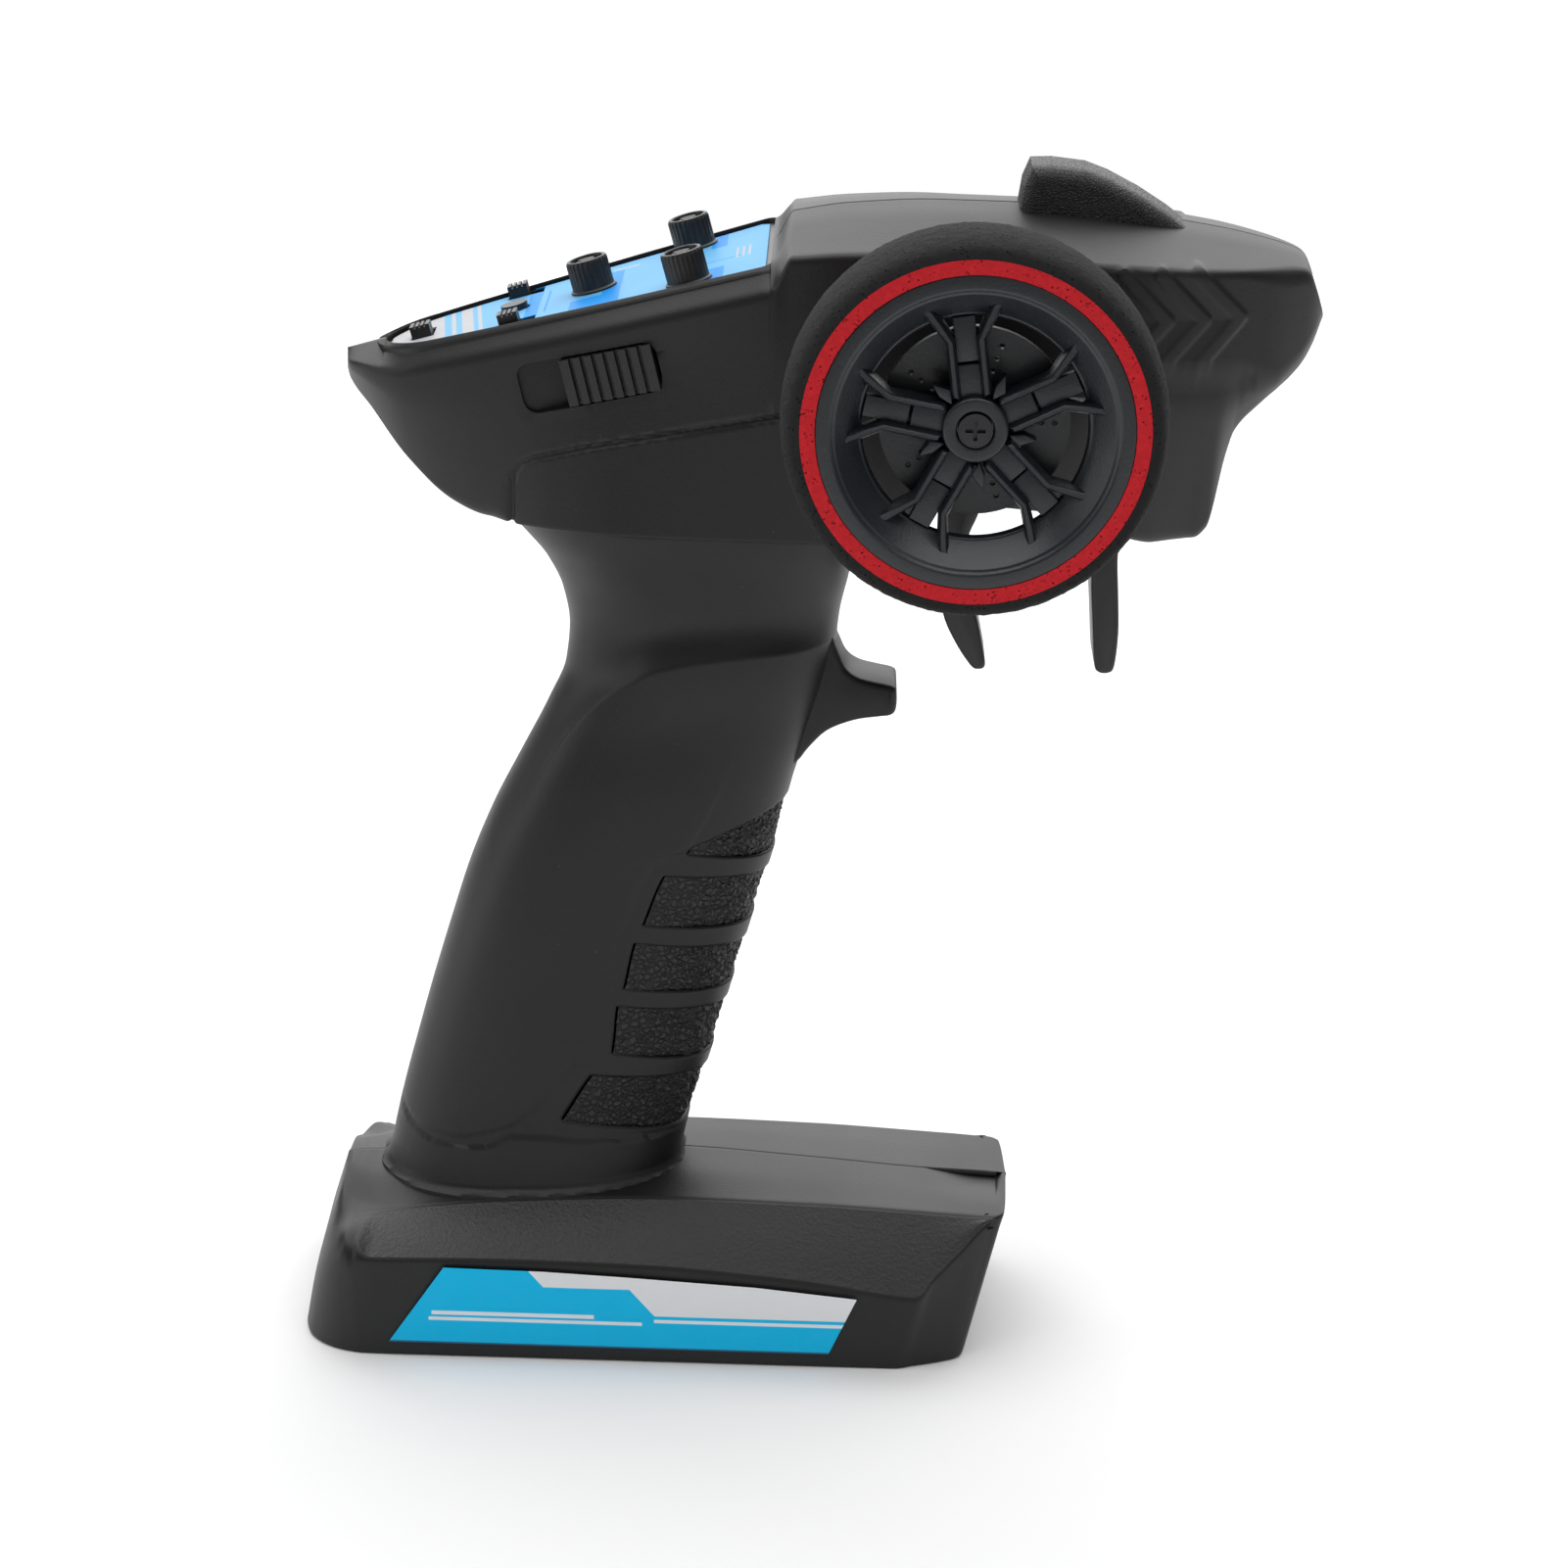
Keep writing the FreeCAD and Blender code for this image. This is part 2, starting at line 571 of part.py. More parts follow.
def panel_rooms():
    rooms = []
    for name, s, y in KNOB_PLACES:
        rooms.append(panel_room(s - POT_HALF, s + POT_HALF, y - POT_HALF, y + POT_HALF))
    for name, s, y in REVERSE_PLACES:
        rooms.append(panel_room(s - SWITCH_HALF, s + SWITCH_HALF + REVERSE_TRAVEL, y - SWITCH_HALF,
                                y + SWITCH_HALF))
    s, y = POWER_PLACE
    rooms.append(panel_room(s - SWITCH_HALF, s + SWITCH_HALF, y - SWITCH_HALF,
                            y + SWITCH_HALF + POWER_TRAVEL))
    return rooms


def build_panel():
    plate = panel_prism(0, -PANEL_PLATE, 0)
    label = panel_prism(0.8, 0, LABEL_SHEET)
    holes = []
    for name, s, y in KNOB_PLACES:
        holes.append(cylinder(V(s, y, -5), Z_AXIS, KNOB_STEM + FIT, 10))
    for name, s, y in REVERSE_PLACES:
        holes.append(box(s - TOGGLE_HALF - FIT, s + TOGGLE_HALF + REVERSE_TRAVEL + FIT,
                         y - TOGGLE_HALF - FIT, y + TOGGLE_HALF + FIT, -5, 5))
    s, y = POWER_PLACE
    holes.append(box(s - TOGGLE_HALF - FIT, s + TOGGLE_HALF + FIT,
                     y - TOGGLE_HALF - FIT, y + TOGGLE_HALF + POWER_TRAVEL + FIT, -5, 5))
    s, y = BUTTON_PLACE
    holes.append(cylinder(V(s, y, -5), Z_AXIS, BUTTON_RADIUS + FIT, 10))
    slit = box(-12.2, -8.0, 10.9, 11.6, -PANEL_PLATE, LABEL_SHEET)
    for hole in holes:
        plate = plate.cut(on_panel(hole))
        label = label.cut(on_panel(hole))
    save("control_panel", plate.cut(on_panel(slit)))
    save("panel_label", label.cut(on_panel(slit)))
    save("indicator_window", on_panel(slit))
    half = [(-46.5, 5.0), (-36.0, 8.0), (-32.0, 9.5), (-6.0, 9.5), (-3.5, 17.5), (8.0, 17.5)]
    outline = half + [(s, -y) for s, y in reversed(half)]
    board = prism_xy(outline, -PANEL_BOARD_DROP - BOARD, -PANEL_BOARD_DROP)
    save("panel_board", on_panel(board))


def build_knobs():
    for name, s, y in KNOB_PLACES:
        skirt = cylinder(V(s, y, LABEL_SHEET + FIT), Z_AXIS, KNOB_RADIUS + 0.45, 0.7)
        grip = Part.makeCone(KNOB_RADIUS, KNOB_RADIUS - 0.2, KNOB_HEIGHT, V(s, y, LABEL_SHEET + FIT), Z_AXIS)
        knob = skirt.fuse(grip)
        flutes = 24
        for i in range(flutes):
            turn = 2 * math.pi * i / flutes
            place = V(s + (KNOB_RADIUS + 0.1) * math.cos(turn), y + (KNOB_RADIUS + 0.1) * math.sin(turn),
                      LABEL_SHEET + FIT + 0.9)
            knob = knob.cut(cylinder(place, Z_AXIS, 0.24, KNOB_HEIGHT))
        top = LABEL_SHEET + FIT + KNOB_HEIGHT
        knob = knob.cut(cylinder(V(s, y, top - 0.9), Z_AXIS, KNOB_RADIUS - 1.1, 2))
        knob = knob.fuse(cylinder(V(s, y, top - 1.2), Z_AXIS, 1.3, 0.9))
        knob = knob.cut(box(s - 1.2, s + 1.2, y - 0.3, y + 0.3, top - 0.9, top + 1))
        stem_foot = -PANEL_BOARD_DROP + 1.2
        knob = knob.fuse(cylinder(V(s, y, stem_foot), Z_AXIS, KNOB_STEM, LABEL_SHEET + FIT + 1 - stem_foot))
        save("knob_" + name, on_panel(knob))
        pot = box(s - POT_HALF, s + POT_HALF, y - POT_HALF, y + POT_HALF, -PANEL_BOARD_DROP,
                  -PANEL_PLATE - 0.2 - 2.0)
        neck = cylinder(V(s, y, -PANEL_PLATE - 2.3), Z_AXIS, KNOB_STEM + 1.0, 2.1)
        pot = pot.fuse(neck)
        pot = pot.cut(cylinder(V(s, y, stem_foot - 0.4), Z_AXIS, KNOB_STEM + RUNNING, 12))
        save("trim_pot_" + name, on_panel(pot))


def toggle_shape(s, y):
    """Slide toggle: a ribbed finger piece on a stem with a foot in the switch."""
    proud = LABEL_SHEET + TOGGLE_PROUD
    cap = box(s - TOGGLE_HALF, s + TOGGLE_HALF, y - TOGGLE_HALF, y + TOGGLE_HALF, -1.4, proud)
    for k in (-0.8, 0.0, 0.8):
        cap = cap.cut(box(s + k - 0.15, s + k + 0.15, y - 3, y + 3, proud - 0.4, proud + 1))
    stem = box(s - 0.9, s + 0.9, y - 0.9, y + 0.9, -PANEL_PLATE - 2.6, -1.4)
    return cap.fuse(stem)


def switch_shape(s, y, travel_s, travel_y):
    """Slide switch body on the board, with the track its toggle's stem runs in."""
    half = SWITCH_HALF
    body = box(s - half, s + half + travel_s, y - half, y + half + travel_y, -PANEL_BOARD_DROP,
               -PANEL_PLATE - 0.5)
    track = box(s - 0.9 - FIT, s + 0.9 + FIT + travel_s, y - 0.9 - FIT, y + 0.9 + FIT + travel_y,
                -PANEL_PLATE - 2.6 - FIT, 0)
    return body.cut(track)


def build_switches():
    for name, s, y in REVERSE_PLACES:
        save("reverse_toggle_" + name, on_panel(toggle_shape(s, y)))
        save("reverse_switch_" + name, on_panel(switch_shape(s, y, REVERSE_TRAVEL, 0)))
    s, y = POWER_PLACE
    save("power_toggle", on_panel(toggle_shape(s, y)))
    save("power_switch", on_panel(switch_shape(s, y, 0, POWER_TRAVEL)))
    s, y = BUTTON_PLACE
    button = cylinder(V(s, y, -2.4), Z_AXIS, BUTTON_RADIUS, 2.4 + LABEL_SHEET + BUTTON_PROUD)
    flange = cylinder(V(s, y, -PANEL_PLATE - 0.9), Z_AXIS, BUTTON_RADIUS + 0.8, 0.6)
    save("bind_button", on_panel(button.fuse(flange).fuse(
        cylinder(V(s, y, -4.2), Z_AXIS, 1.0, 2.4))))
    half = SWITCH_HALF
    tact = box(s - half, s + half, y - half, y + half, -PANEL_BOARD_DROP, -5.4)
    tact = tact.cut(cylinder(V(s, y, -6.2), Z_AXIS, 1.0 + FIT, 3))
    save("bind_switch", on_panel(tact))


def build_slider():
    """Three-position slider on the right side: ribbed block, stem and switch."""
    mid = SLIDER_TRAVEL / 2
    rear = mid - SLIDER_LENGTH / 2
    block = box(rear, rear + SLIDER_LENGTH, -0.9, slider_floor - FIT, -SLIDER_HEIGHT / 2, SLIDER_HEIGHT / 2)
    ribs = 8
    pitch = SLIDER_LENGTH / ribs
    for i in range(1, ribs):
        x = rear + i * pitch
        block = block.cut(box(x - 0.35, x + 0.35, -2, -0.1, -SLIDER_HEIGHT, SLIDER_HEIGHT))
    stem_end = slider_floor + 3.2
    stem = box(mid - 1.2, mid + 1.2, slider_floor - 1, stem_end, -1.2, 1.2)
    save("side_slider", on_side(block.fuse(stem)))
    body = box(-6, 6, slider_floor + 1.5, slider_floor + 5.5, -3, 3)
    body = body.cut(box(-mid - 1.2 - FIT, mid + 1.2 + FIT, slider_floor, stem_end + FIT,
                        -1.2 - FIT, 1.2 + FIT))
    save("side_switch", on_side(body))


def build_boards():
    z = HEAD_FLOOR + board_rise
    board = box(board_rear, board_front, -board_half, board_half, z, z + BOARD)
    save("main_board", board)
    module = box(6, 26, -8, 8, z + BOARD, z + BOARD + 0.8)
    can = box(8, 24, -6.5, 6.5, z + BOARD + 0.8, z + BOARD + 3.4)
    save("radio_module", module.fuse(can))
    depth = 7.0
    jack = box(-jack_half + SEAT, jack_half - SEAT, -jack_half_height + SEAT, jack_half_height - SEAT,
               -depth, -0.6)
    socket = box(-jack_half + 0.8, jack_half - 0.8, -jack_half_height + 0.7, jack_half_height - 0.7,
                 -depth + 1, 1)
    save("charge_jack", jack_placed(jack.cut(socket)))


# ---------------------------------------------------------------- antenna cover
def fin_outline(inset):
    top = HEAD_DEPTH + HEAD_FLOOR
    rear = 52.8
    return [(rear + inset, top - 4), (rear + 1.6 + inset, top + 6.7 - inset), (58.3, top + 6.8 - inset),
            (63.4, top + 6.1 - inset), (69.4 - inset * 0.4, top + 3.7 - inset),
            (75.4 - inset * 0.7, top + 0.2 - inset), (80.4 - inset, top - 3.6 - inset),
            (80.4 - inset, top - 6)]


def build_fin():
    half = 7.0
    body = prism_xz(fin_outline(0), -half, half)
    flank = prism_xy([(50, -half + 1.5), (54, -half), (66, -half), (82, -3), (82, 3), (66, half), (54, half),
                      (50, half - 1.5)], HEAD_FLOOR, HEAD_FLOOR + 80)
    body = body.common(flank)
    room = prism_xz(fin_outline(1.4), -half + 1.6, half - 1.6)
    save("antenna_cover", body.cut(room).cut(head_outer).Solids[0])
    blade_foot = HEAD_FLOOR + HEAD_DEPTH + 0.3
    save("antenna_element", box(57, 68, -3, 3, blade_foot, blade_foot + 1.0))


# ---------------------------------------------------------------- steering wheel
def revolve_wheel(profile):
    """Turns a profile of (radius, distance behind the face) about the steering axis."""
    points = [wheel_point(WHEEL_FACE + d) + V(r, 0, 0) for r, d in profile]
    face = Part.Face(Part.makePolygon(points + points[:1]))
    return face.revolve(wheel_point(0), Y_AXIS, 360)


def wheel_prism(points, near, far):
    """Outline of (along, across) seen from the wheel's outer side, between two depths."""
    home = wheel_point(WHEEL_FACE + near)
    wire = Part.makePolygon([home + V(a, 0, b) for a, b in points + points[:1]])
    return Part.Face(wire).extrude(V(0, far - near, 0))


def rail_outline(side):
    """One rail of a spoke: straight from the hub to the knee, then a pointed flare."""
    tip = math.radians(TIP_ANGLE)
    tip_point = (TIP_RADIUS * math.cos(tip), TIP_RADIUS * math.sin(tip))
    root = HUB_RADIUS - 1.2
    outline = [(root, RAIL_INNER), (KNEE_RADIUS - 0.2, RAIL_INNER),
               (KNEE_RADIUS + 4.4, RAIL_INNER + 3.4), tip_point,
               (KNEE_RADIUS - 1.0, RAIL_OUTER), (root, RAIL_OUTER)]
    return [(a, side * b) for a, b in outline]


def build_wheel():
    lip = 4.0
    rim = revolve_wheel([(RIM_RADIUS, 0.2), (21.2, 0.2), (DISH_RADIUS + 0.4, lip), (DISH_RADIUS, lip + 0.4),
                         (DISH_RADIUS, lip + 1.6), (21.6, 3.2), (22.4, 4.4), (22.4, WHEEL_WIDTH - 0.4),
                         (RIM_RADIUS, WHEEL_WIDTH - 0.4)])
    hub = cylinder(wheel_point(WHEEL_FACE + 2.2), Y_AXIS, HUB_RADIUS, WHEEL_WIDTH + 3 - 2.2)
    rim = rim.fuse(hub)
    for i in range(SPOKES):
        for side in (-1, 1):
            rail = wheel_prism(rail_outline(side), 2.6, 5.6)
            rail.rotate(wheel_point(0), Y_AXIS, -(SPOKE_ROOT_ANGLE + 360.0 / SPOKES * i))
            rim = rim.fuse(rail)
        reach = DISH_RADIUS + 1.2
        web = wheel_prism([(3, -RAIL_INNER), (reach, -RAIL_INNER), (reach, RAIL_INNER), (3, RAIL_INNER)],
                          4.4, 5.8)
        web.rotate(wheel_point(0), Y_AXIS, -(SPOKE_ROOT_ANGLE + 360.0 / SPOKES * i))
        rim = rim.fuse(web)
    bore = cylinder(wheel_point(shaft_tip), Y_AXIS, SHAFT_RADIUS, 60)
    screw_hole = cylinder(wheel_point(WHEEL_FACE), Y_AXIS, SCREW_RADIUS, 12)
    recess = cylinder(wheel_point(WHEEL_FACE), Y_AXIS, SCREW_HEAD_RADIUS + SEAT, 2.2 + SCREW_HEAD)
    rim = rim.cut(bore).cut(screw_hole).cut(recess)
    save("wheel_rim", rim)
    disc = ring(wheel_point(WHEEL_FACE + 9.0), Y_AXIS, DISC_RADIUS, HUB_RADIUS, 1.4)
    slots = 10
    for i in range(slots):
        for radius in (8.0, 10.0, 12.0):
            turn = 2 * math.pi * i / slots
            place = wheel_point(WHEEL_FACE + 8) + V(radius * math.cos(turn), 0, radius * math.sin(turn))
            disc = disc.cut(cylinder(place, Y_AXIS, 0.45, 4))
    save("wheel_disc", disc)
    red = revolve_wheel([(RIM_RADIUS, 0.0), (FOAM_SEAM_RADIUS, 0.0), (FOAM_SEAM_RADIUS, WHEEL_WIDTH),
                         (RIM_RADIUS, WHEEL_WIDTH)])
    save("red_foam_ring", red)
    crown = []
    steps = 8
    for i in range(steps + 1):
        turn = math.pi * i / steps
        swell = math.sin(turn) ** 0.6
        crown.append((FOAM_SEAM_RADIUS + 0.8 + (TYRE_RADIUS - FOAM_SEAM_RADIUS - 0.8) * swell,
                      WHEEL_WIDTH / 2 * (1 - math.cos(turn))))
    save("foam_tyre", revolve_wheel([(FOAM_SEAM_RADIUS, 0.0)] + crown + [(FOAM_SEAM_RADIUS, WHEEL_WIDTH)]))
    save("steering_shaft", cylinder(wheel_point(shaft_tip), Y_AXIS, SHAFT_RADIUS, shaft_end - shaft_tip).cut(
        cylinder(wheel_point(shaft_tip - 1), Y_AXIS, SCREW_RADIUS, 9)))
    save("hub_screw", screw(wheel_point(WHEEL_FACE + 2.2 + SCREW_HEAD), Y_AXIS * -1, 8.0))
    bush_outer = SHAFT_RADIUS + RUNNING + BUSH_WALL
    bush = ring(wheel_point(boss_face), Y_AXIS, bush_outer, SHAFT_RADIUS + RUNNING, boss_root - boss_face)
    save("steering_bush", bush)
    pot = cylinder(wheel_point(steer_pot_near), Y_AXIS, 7.6, steer_pot_far - steer_pot_near)
    pot = pot.cut(cylinder(wheel_point(steer_pot_near - 1), Y_AXIS, SHAFT_RADIUS + RUNNING,
                           steer_pot_far - steer_pot_near))
    save("steering_pot", pot)


shaft_tip = WHEEL_FACE + 5.0
shaft_end = steer_pot_far - 1.0 - FIT


def coil(home, axis, radius, wire, pitch, turns):
    """Close-wound spring: round wire swept along a helix about an axis."""
    helix = Part.makeHelix(pitch, pitch * turns, radius)
    section = Part.Wire([Part.makeCircle(wire, V(radius, 0, 0), Y_AXIS)])
    spring = Part.Wire(helix.Edges).makePipeShell([section], True, True)
    spring.Placement = FreeCAD.Placement(home, FreeCAD.Rotation(Z_AXIS, axis))
    return spring


def build_springs():
    wire = 0.5
    spring_room = steer_pot_near - boss_root
    turns = 5
    pitch = (spring_room - 2 * wire - 1.2) / turns
    start = wheel_point(boss_root + 0.6 + wire)
    save("steering_spring", coil(start, Y_AXIS, SHAFT_RADIUS + 1.6, wire, pitch, turns))
    room = pin_gap - TRIGGER_HALF_WIDTH
    wire = 0.4
    turns = 4
    pitch = (room - 2 * wire - 1.0) / turns
    start = pivot_point(-pin_gap + 0.5 + wire)
    save("trigger_spring", coil(start, Y_AXIS, PIVOT_RADIUS + 1.2, wire, pitch, turns))


# ---------------------------------------------------------------- trigger
def build_trigger():
    z = HEAD_FLOOR + TRIGGER_RISE
    gap_mid = 58.6
    rear = gap_mid - FINGER_GAP / 2
    front = gap_mid + FINGER_GAP / 2
    tip = z - 33.8
    # Rear prong leans forward to its rounded tip.
    rear_prong = [(rear - 8.6, z - 14), (rear - 6.9, z - 24.6), (rear - 2.4, tip + 0.6), (rear - 1.2, tip),
                  (rear, tip + 0.5), (rear - 0.9, z - 27.0), (rear - 4.6, z - 14), (rear - 3.6, z - 8.5),
                  (rear - 1.4, z - 6.2), (rear - 4.4, z - 1.6), (rear - 8.0, z - 6.5)]
    # Front prong hangs in a long curve, hollow side towards the finger.
    front_prong = [(front - 0.2, z - 6.2), (front + 2.2, z - 10), (front + 1.0, z - 19),
                   (front + 0.8, tip + 0.6), (front + 2.2, tip), (front + 3.8, tip + 0.6),
                   (front + 4.6, z - 22), (front + 4.4, z - 14), (front + 4.0, z - 7.6),
                   (front + 1.4, z - 3.2)]
    body = cylinder(pivot_point(-TRIGGER_HALF_WIDTH), Y_AXIS, 4.6, 2 * TRIGGER_HALF_WIDTH)
    bridge = [(rear - 4.4, z - 1.6), (TRIGGER_X - 3, z + 3.2), (TRIGGER_X + 3, z + 3.2),
              (front + 1.4, z - 3.2), (front - 0.2, z - 6.2), (rear - 1.4, z - 6.2)]
    half = TRIGGER_HALF_WIDTH
    body = body.fuse(prism_xz(bridge, -half, half))
    body = body.fuse(prism_xz(rear_prong, -half, half))
    body = body.fuse(prism_xz(front_prong, -half, half))
    body = body.cut(cylinder(pivot_point(-half - 1), Y_AXIS, PIVOT_RADIUS + RUNNING, 2 * half + 2))
    save("trigger_lever", body.removeSplitter())
    save("trigger_pin", cylinder(pivot_point(-pin_half), Y_AXIS, PIVOT_RADIUS, 2 * pin_half))
    pot = ring(pivot_point(TRIGGER_HALF_WIDTH + FIT), Y_AXIS, 5.6, PIVOT_RADIUS,
               pin_gap - TRIGGER_HALF_WIDTH - FIT)
    save("trigger_pot", pot)


# ---------------------------------------------------------------- battery
def build_battery():
    tray = box(bay_rear, bay_front, -DOOR_HALF_WIDTH, DOOR_HALF_WIDTH, WALL + 0.2, tray_top)
    tray = tray.cut(box(bay_rear + TRAY_WALL, bay_front - TRAY_WALL, -DOOR_HALF_WIDTH + TRAY_WALL,
                        DOOR_HALF_WIDTH - TRAY_WALL, 0, tray_top - TRAY_WALL))
    for x in (-ear_x, ear_x):
        for y in (-ear_y, ear_y):
            inner = math.copysign(DOOR_HALF_WIDTH - 0.5, y)
            low = min(inner, y + math.copysign(3.5, y))
            high = max(inner, y + math.copysign(3.5, y))
            tray = tray.fuse(box(x - 4, x + 4, low, high, WALL, WALL + 5))
            tray = tray.cut(cylinder(V(x, y, WALL - 1), Z_AXIS, SCREW_RADIUS, 6.5))
    tray = tray.cut(box(bay_rear + TRAY_WALL, bay_front - TRAY_WALL, -DOOR_HALF_WIDTH + TRAY_WALL,
                        DOOR_HALF_WIDTH - TRAY_WALL, 0, tray_top - TRAY_WALL))
    save("battery_tray", tray)
    door = box(bay_rear + FIT, bay_front - FIT, -DOOR_HALF_WIDTH + FIT, DOOR_HALF_WIDTH - FIT, 0, WALL - FIT)
    for k in range(6):
        x = bay_front - 12 - 2.2 * k
        door = door.cut(box(x, x + 1.0, -8, 8, -1, 0.5))
    save("battery_door", door)
    cell_y = CELL_RADIUS + 0.35
    number = 1
    contacts = []
    for row in (0, 1):
        x = cells_rear + row * (CELL_LENGTH + CELL_GAP)
        for y in (-cell_y, cell_y):
            forward = y > 0
            body = cylinder(V(x + (0 if forward else 1.0), y, cell_z), X_AXIS, CELL_RADIUS, CELL_LENGTH - 1.0)
            cap_x = x + CELL_LENGTH - 1.0 if forward else x
            body = body.fuse(cylinder(V(cap_x, y, cell_z), X_AXIS, 2.7, 1.0))
            save("battery_cell_%d" % number, body)
            number += 1
    for x in (bay_rear + TRAY_WALL, bay_front - TRAY_WALL - CONTACT):
        contacts.append(box(x, x + CONTACT, -cell_y - 5, cell_y + 5, cell_z - 5, cell_z + 5))
    save("battery_contacts", Part.makeCompound(contacts))


def build_screws():
    screws = [screw(V(x, SCREW_SEAT, z), Y_AXIS, SCREW_SEAT + SCREW_GRIP - 0.5) for x, z in CASE_SCREWS]
    save("case_screws", Part.makeCompound(screws))
    feet = [screw(V(x, y, 1.0), Z_AXIS * -1, 6.0) for x in (-ear_x, ear_x) for y in (-ear_y, ear_y)]
    trimmed = [s.cut(box(-100, 100, -50, 50, -5, 0.0)) for s in feet]
    save("tray_screws", Part.makeCompound(trimmed))


def build_base_label():
    """Thin printed sheet on the base's right side: a slanted parallelogram."""
    y = -BASE_HALF_WIDTH
    outline = [(-45.1, 2.6), (28.1, 2.6), (32.5, 12.6), (16.0, 14.2),
               (-6.0, 15.4), (-20.0, 16.0), (-36.1, 16.2)]
    save("base_label", prism_xz(outline, y - LABEL_SHEET, y))


build_base()
build_grip()
build_head()
build_panel()
build_knobs()
build_switches()
build_slider()
build_boards()
build_fin()
build_wheel()
build_springs()
build_trigger()
build_battery()
build_screws()
build_base_label()

os.makedirs("parts", exist_ok=True)
for name, shape in nodes.items():
    shape.exportStep("parts/" + name + ".step")
    print(name, len(shape.Solids), "solids", round(shape.Volume), "mm3", shape.isValid())
print(len(nodes), "nodes")
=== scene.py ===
# %% [markdown]
# A pistol-grip radio controller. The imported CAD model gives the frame: where every piece is and how it
# moves. This file gives the finish: moulded shells with their seams, grooves and leather-grained pads,
# the foam-tyred steering wheel, the printed panel, and the materials of every piece.

# %% Load the frame
import math

import bmesh
import bpy
import numpy as np
from mathutils import Matrix, Vector, noise


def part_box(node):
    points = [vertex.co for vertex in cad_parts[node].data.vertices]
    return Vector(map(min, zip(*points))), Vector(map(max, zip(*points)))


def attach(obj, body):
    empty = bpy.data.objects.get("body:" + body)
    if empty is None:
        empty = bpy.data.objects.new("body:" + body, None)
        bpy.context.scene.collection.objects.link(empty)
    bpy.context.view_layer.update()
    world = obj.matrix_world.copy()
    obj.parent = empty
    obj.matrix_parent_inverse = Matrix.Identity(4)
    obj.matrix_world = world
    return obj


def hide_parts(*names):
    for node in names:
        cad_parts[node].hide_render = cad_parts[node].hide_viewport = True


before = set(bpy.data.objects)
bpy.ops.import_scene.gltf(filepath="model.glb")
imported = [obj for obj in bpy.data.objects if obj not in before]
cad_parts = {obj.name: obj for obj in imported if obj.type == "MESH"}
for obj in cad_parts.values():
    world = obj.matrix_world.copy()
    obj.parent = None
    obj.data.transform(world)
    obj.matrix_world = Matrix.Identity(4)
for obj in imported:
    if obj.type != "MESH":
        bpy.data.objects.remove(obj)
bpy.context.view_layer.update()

MM = 0.001

# %% [markdown]
# Moulded plastic has few straight lines. Most sizes of the housing change smoothly along it, so a size is
# written as a few stops and read anywhere between them. A cubic with limited slopes is used rather than a
# plain spline, because it never swings past a stop and so puts no bump where the mould has none.

# %% Smooth lines and steps


def smooth_line(stops, x):
    """Monotone cubic through (x, value) stops: slopes are the harmonic mean of the chords beside a stop."""
    px = np.array([s[0] for s in stops], float)
    pv = np.array([s[1] for s in stops], float)
    x = np.clip(x, px[0], px[-1])
    width = np.diff(px)
    chord = np.diff(pv) / width
    slope = np.concatenate([chord[:1], np.zeros(len(px) - 2), chord[-1:]])
    same = chord[:-1] * chord[1:] > 0
    mean = 2 * chord[:-1] * chord[1:] / np.where(same, chord[:-1] + chord[1:], 1)
    slope[1:-1] = np.where(same, mean, 0)
    k = np.clip(np.searchsorted(px, x, side="right") - 1, 0, len(px) - 2)
    t = (x - px[k]) / width[k]
    a = (1 + 2 * t) * (1 - t) ** 2
    b = t * (1 - t) ** 2
    c = t * t * (3 - 2 * t)
    d = t * t * (t - 1)
    return a * pv[k] + b * width[k] * slope[k] + c * pv[k + 1] + d * width[k] * slope[k + 1]


def step(value, low, high):
    """Smooth step: 0 below low, 1 above high, an S-curve between."""
    t = np.clip((value - low) / (high - low), 0, 1)
    return t * t * (3 - 2 * t)


print("half way up a step:", float(step(0.5, 0, 1)))

# %% [markdown]
# Every new piece is a surface worked out with numpy: a grid of points, and the four-sided faces between
# them. Whole arrays go into the mesh in one call, which is far faster than adding points one by one.
# Points are written in millimetres and become metres only on the way into the mesh.

# %% Grids into meshes


def grid_quads(rows, cols, wrap_rows=False, wrap_cols=False):
    """Indices of the quads of a rows x cols grid, optionally joined back to its start."""
    r = np.arange(rows if wrap_rows else rows - 1)
    c = np.arange(cols if wrap_cols else cols - 1)
    r, c = np.meshgrid(r, c, indexing="ij")
    r2 = (r + 1) % rows
    c2 = (c + 1) % cols
    return np.stack([r * cols + c, r * cols + c2, r2 * cols + c2, r2 * cols + c], -1).reshape(-1, 4)


def mesh_from(name, points, quads, masks=None):
    """A mesh object from points in millimetres and faces; masks are named numbers, one per point."""
    mesh = bpy.data.meshes.new(name)
    points = np.asarray(points, float).reshape(-1, 3) * MM
    quads = np.asarray(quads, np.int32)
    mesh.vertices.add(len(points))
    mesh.vertices.foreach_set("co", points.ravel())
    mesh.loops.add(quads.size)
    mesh.loops.foreach_set("vertex_index", quads.ravel())
    mesh.polygons.add(len(quads))
    mesh.polygons.foreach_set("loop_start", np.arange(0, quads.size, quads.shape[1], dtype=np.int32))
    mesh.update(calc_edges=True)
    mesh.validate()
    for mask, values in (masks or {}).items():
        layer = mesh.attributes.new(mask, "FLOAT", "POINT")
        layer.data.foreach_set("value", np.asarray(values, np.float32).ravel())
    obj = bpy.data.objects.new(name, mesh)
    bpy.context.scene.collection.objects.link(obj)
    return obj


print("faces of a 3 x 3 grid of points:", len(grid_quads(3, 3)))

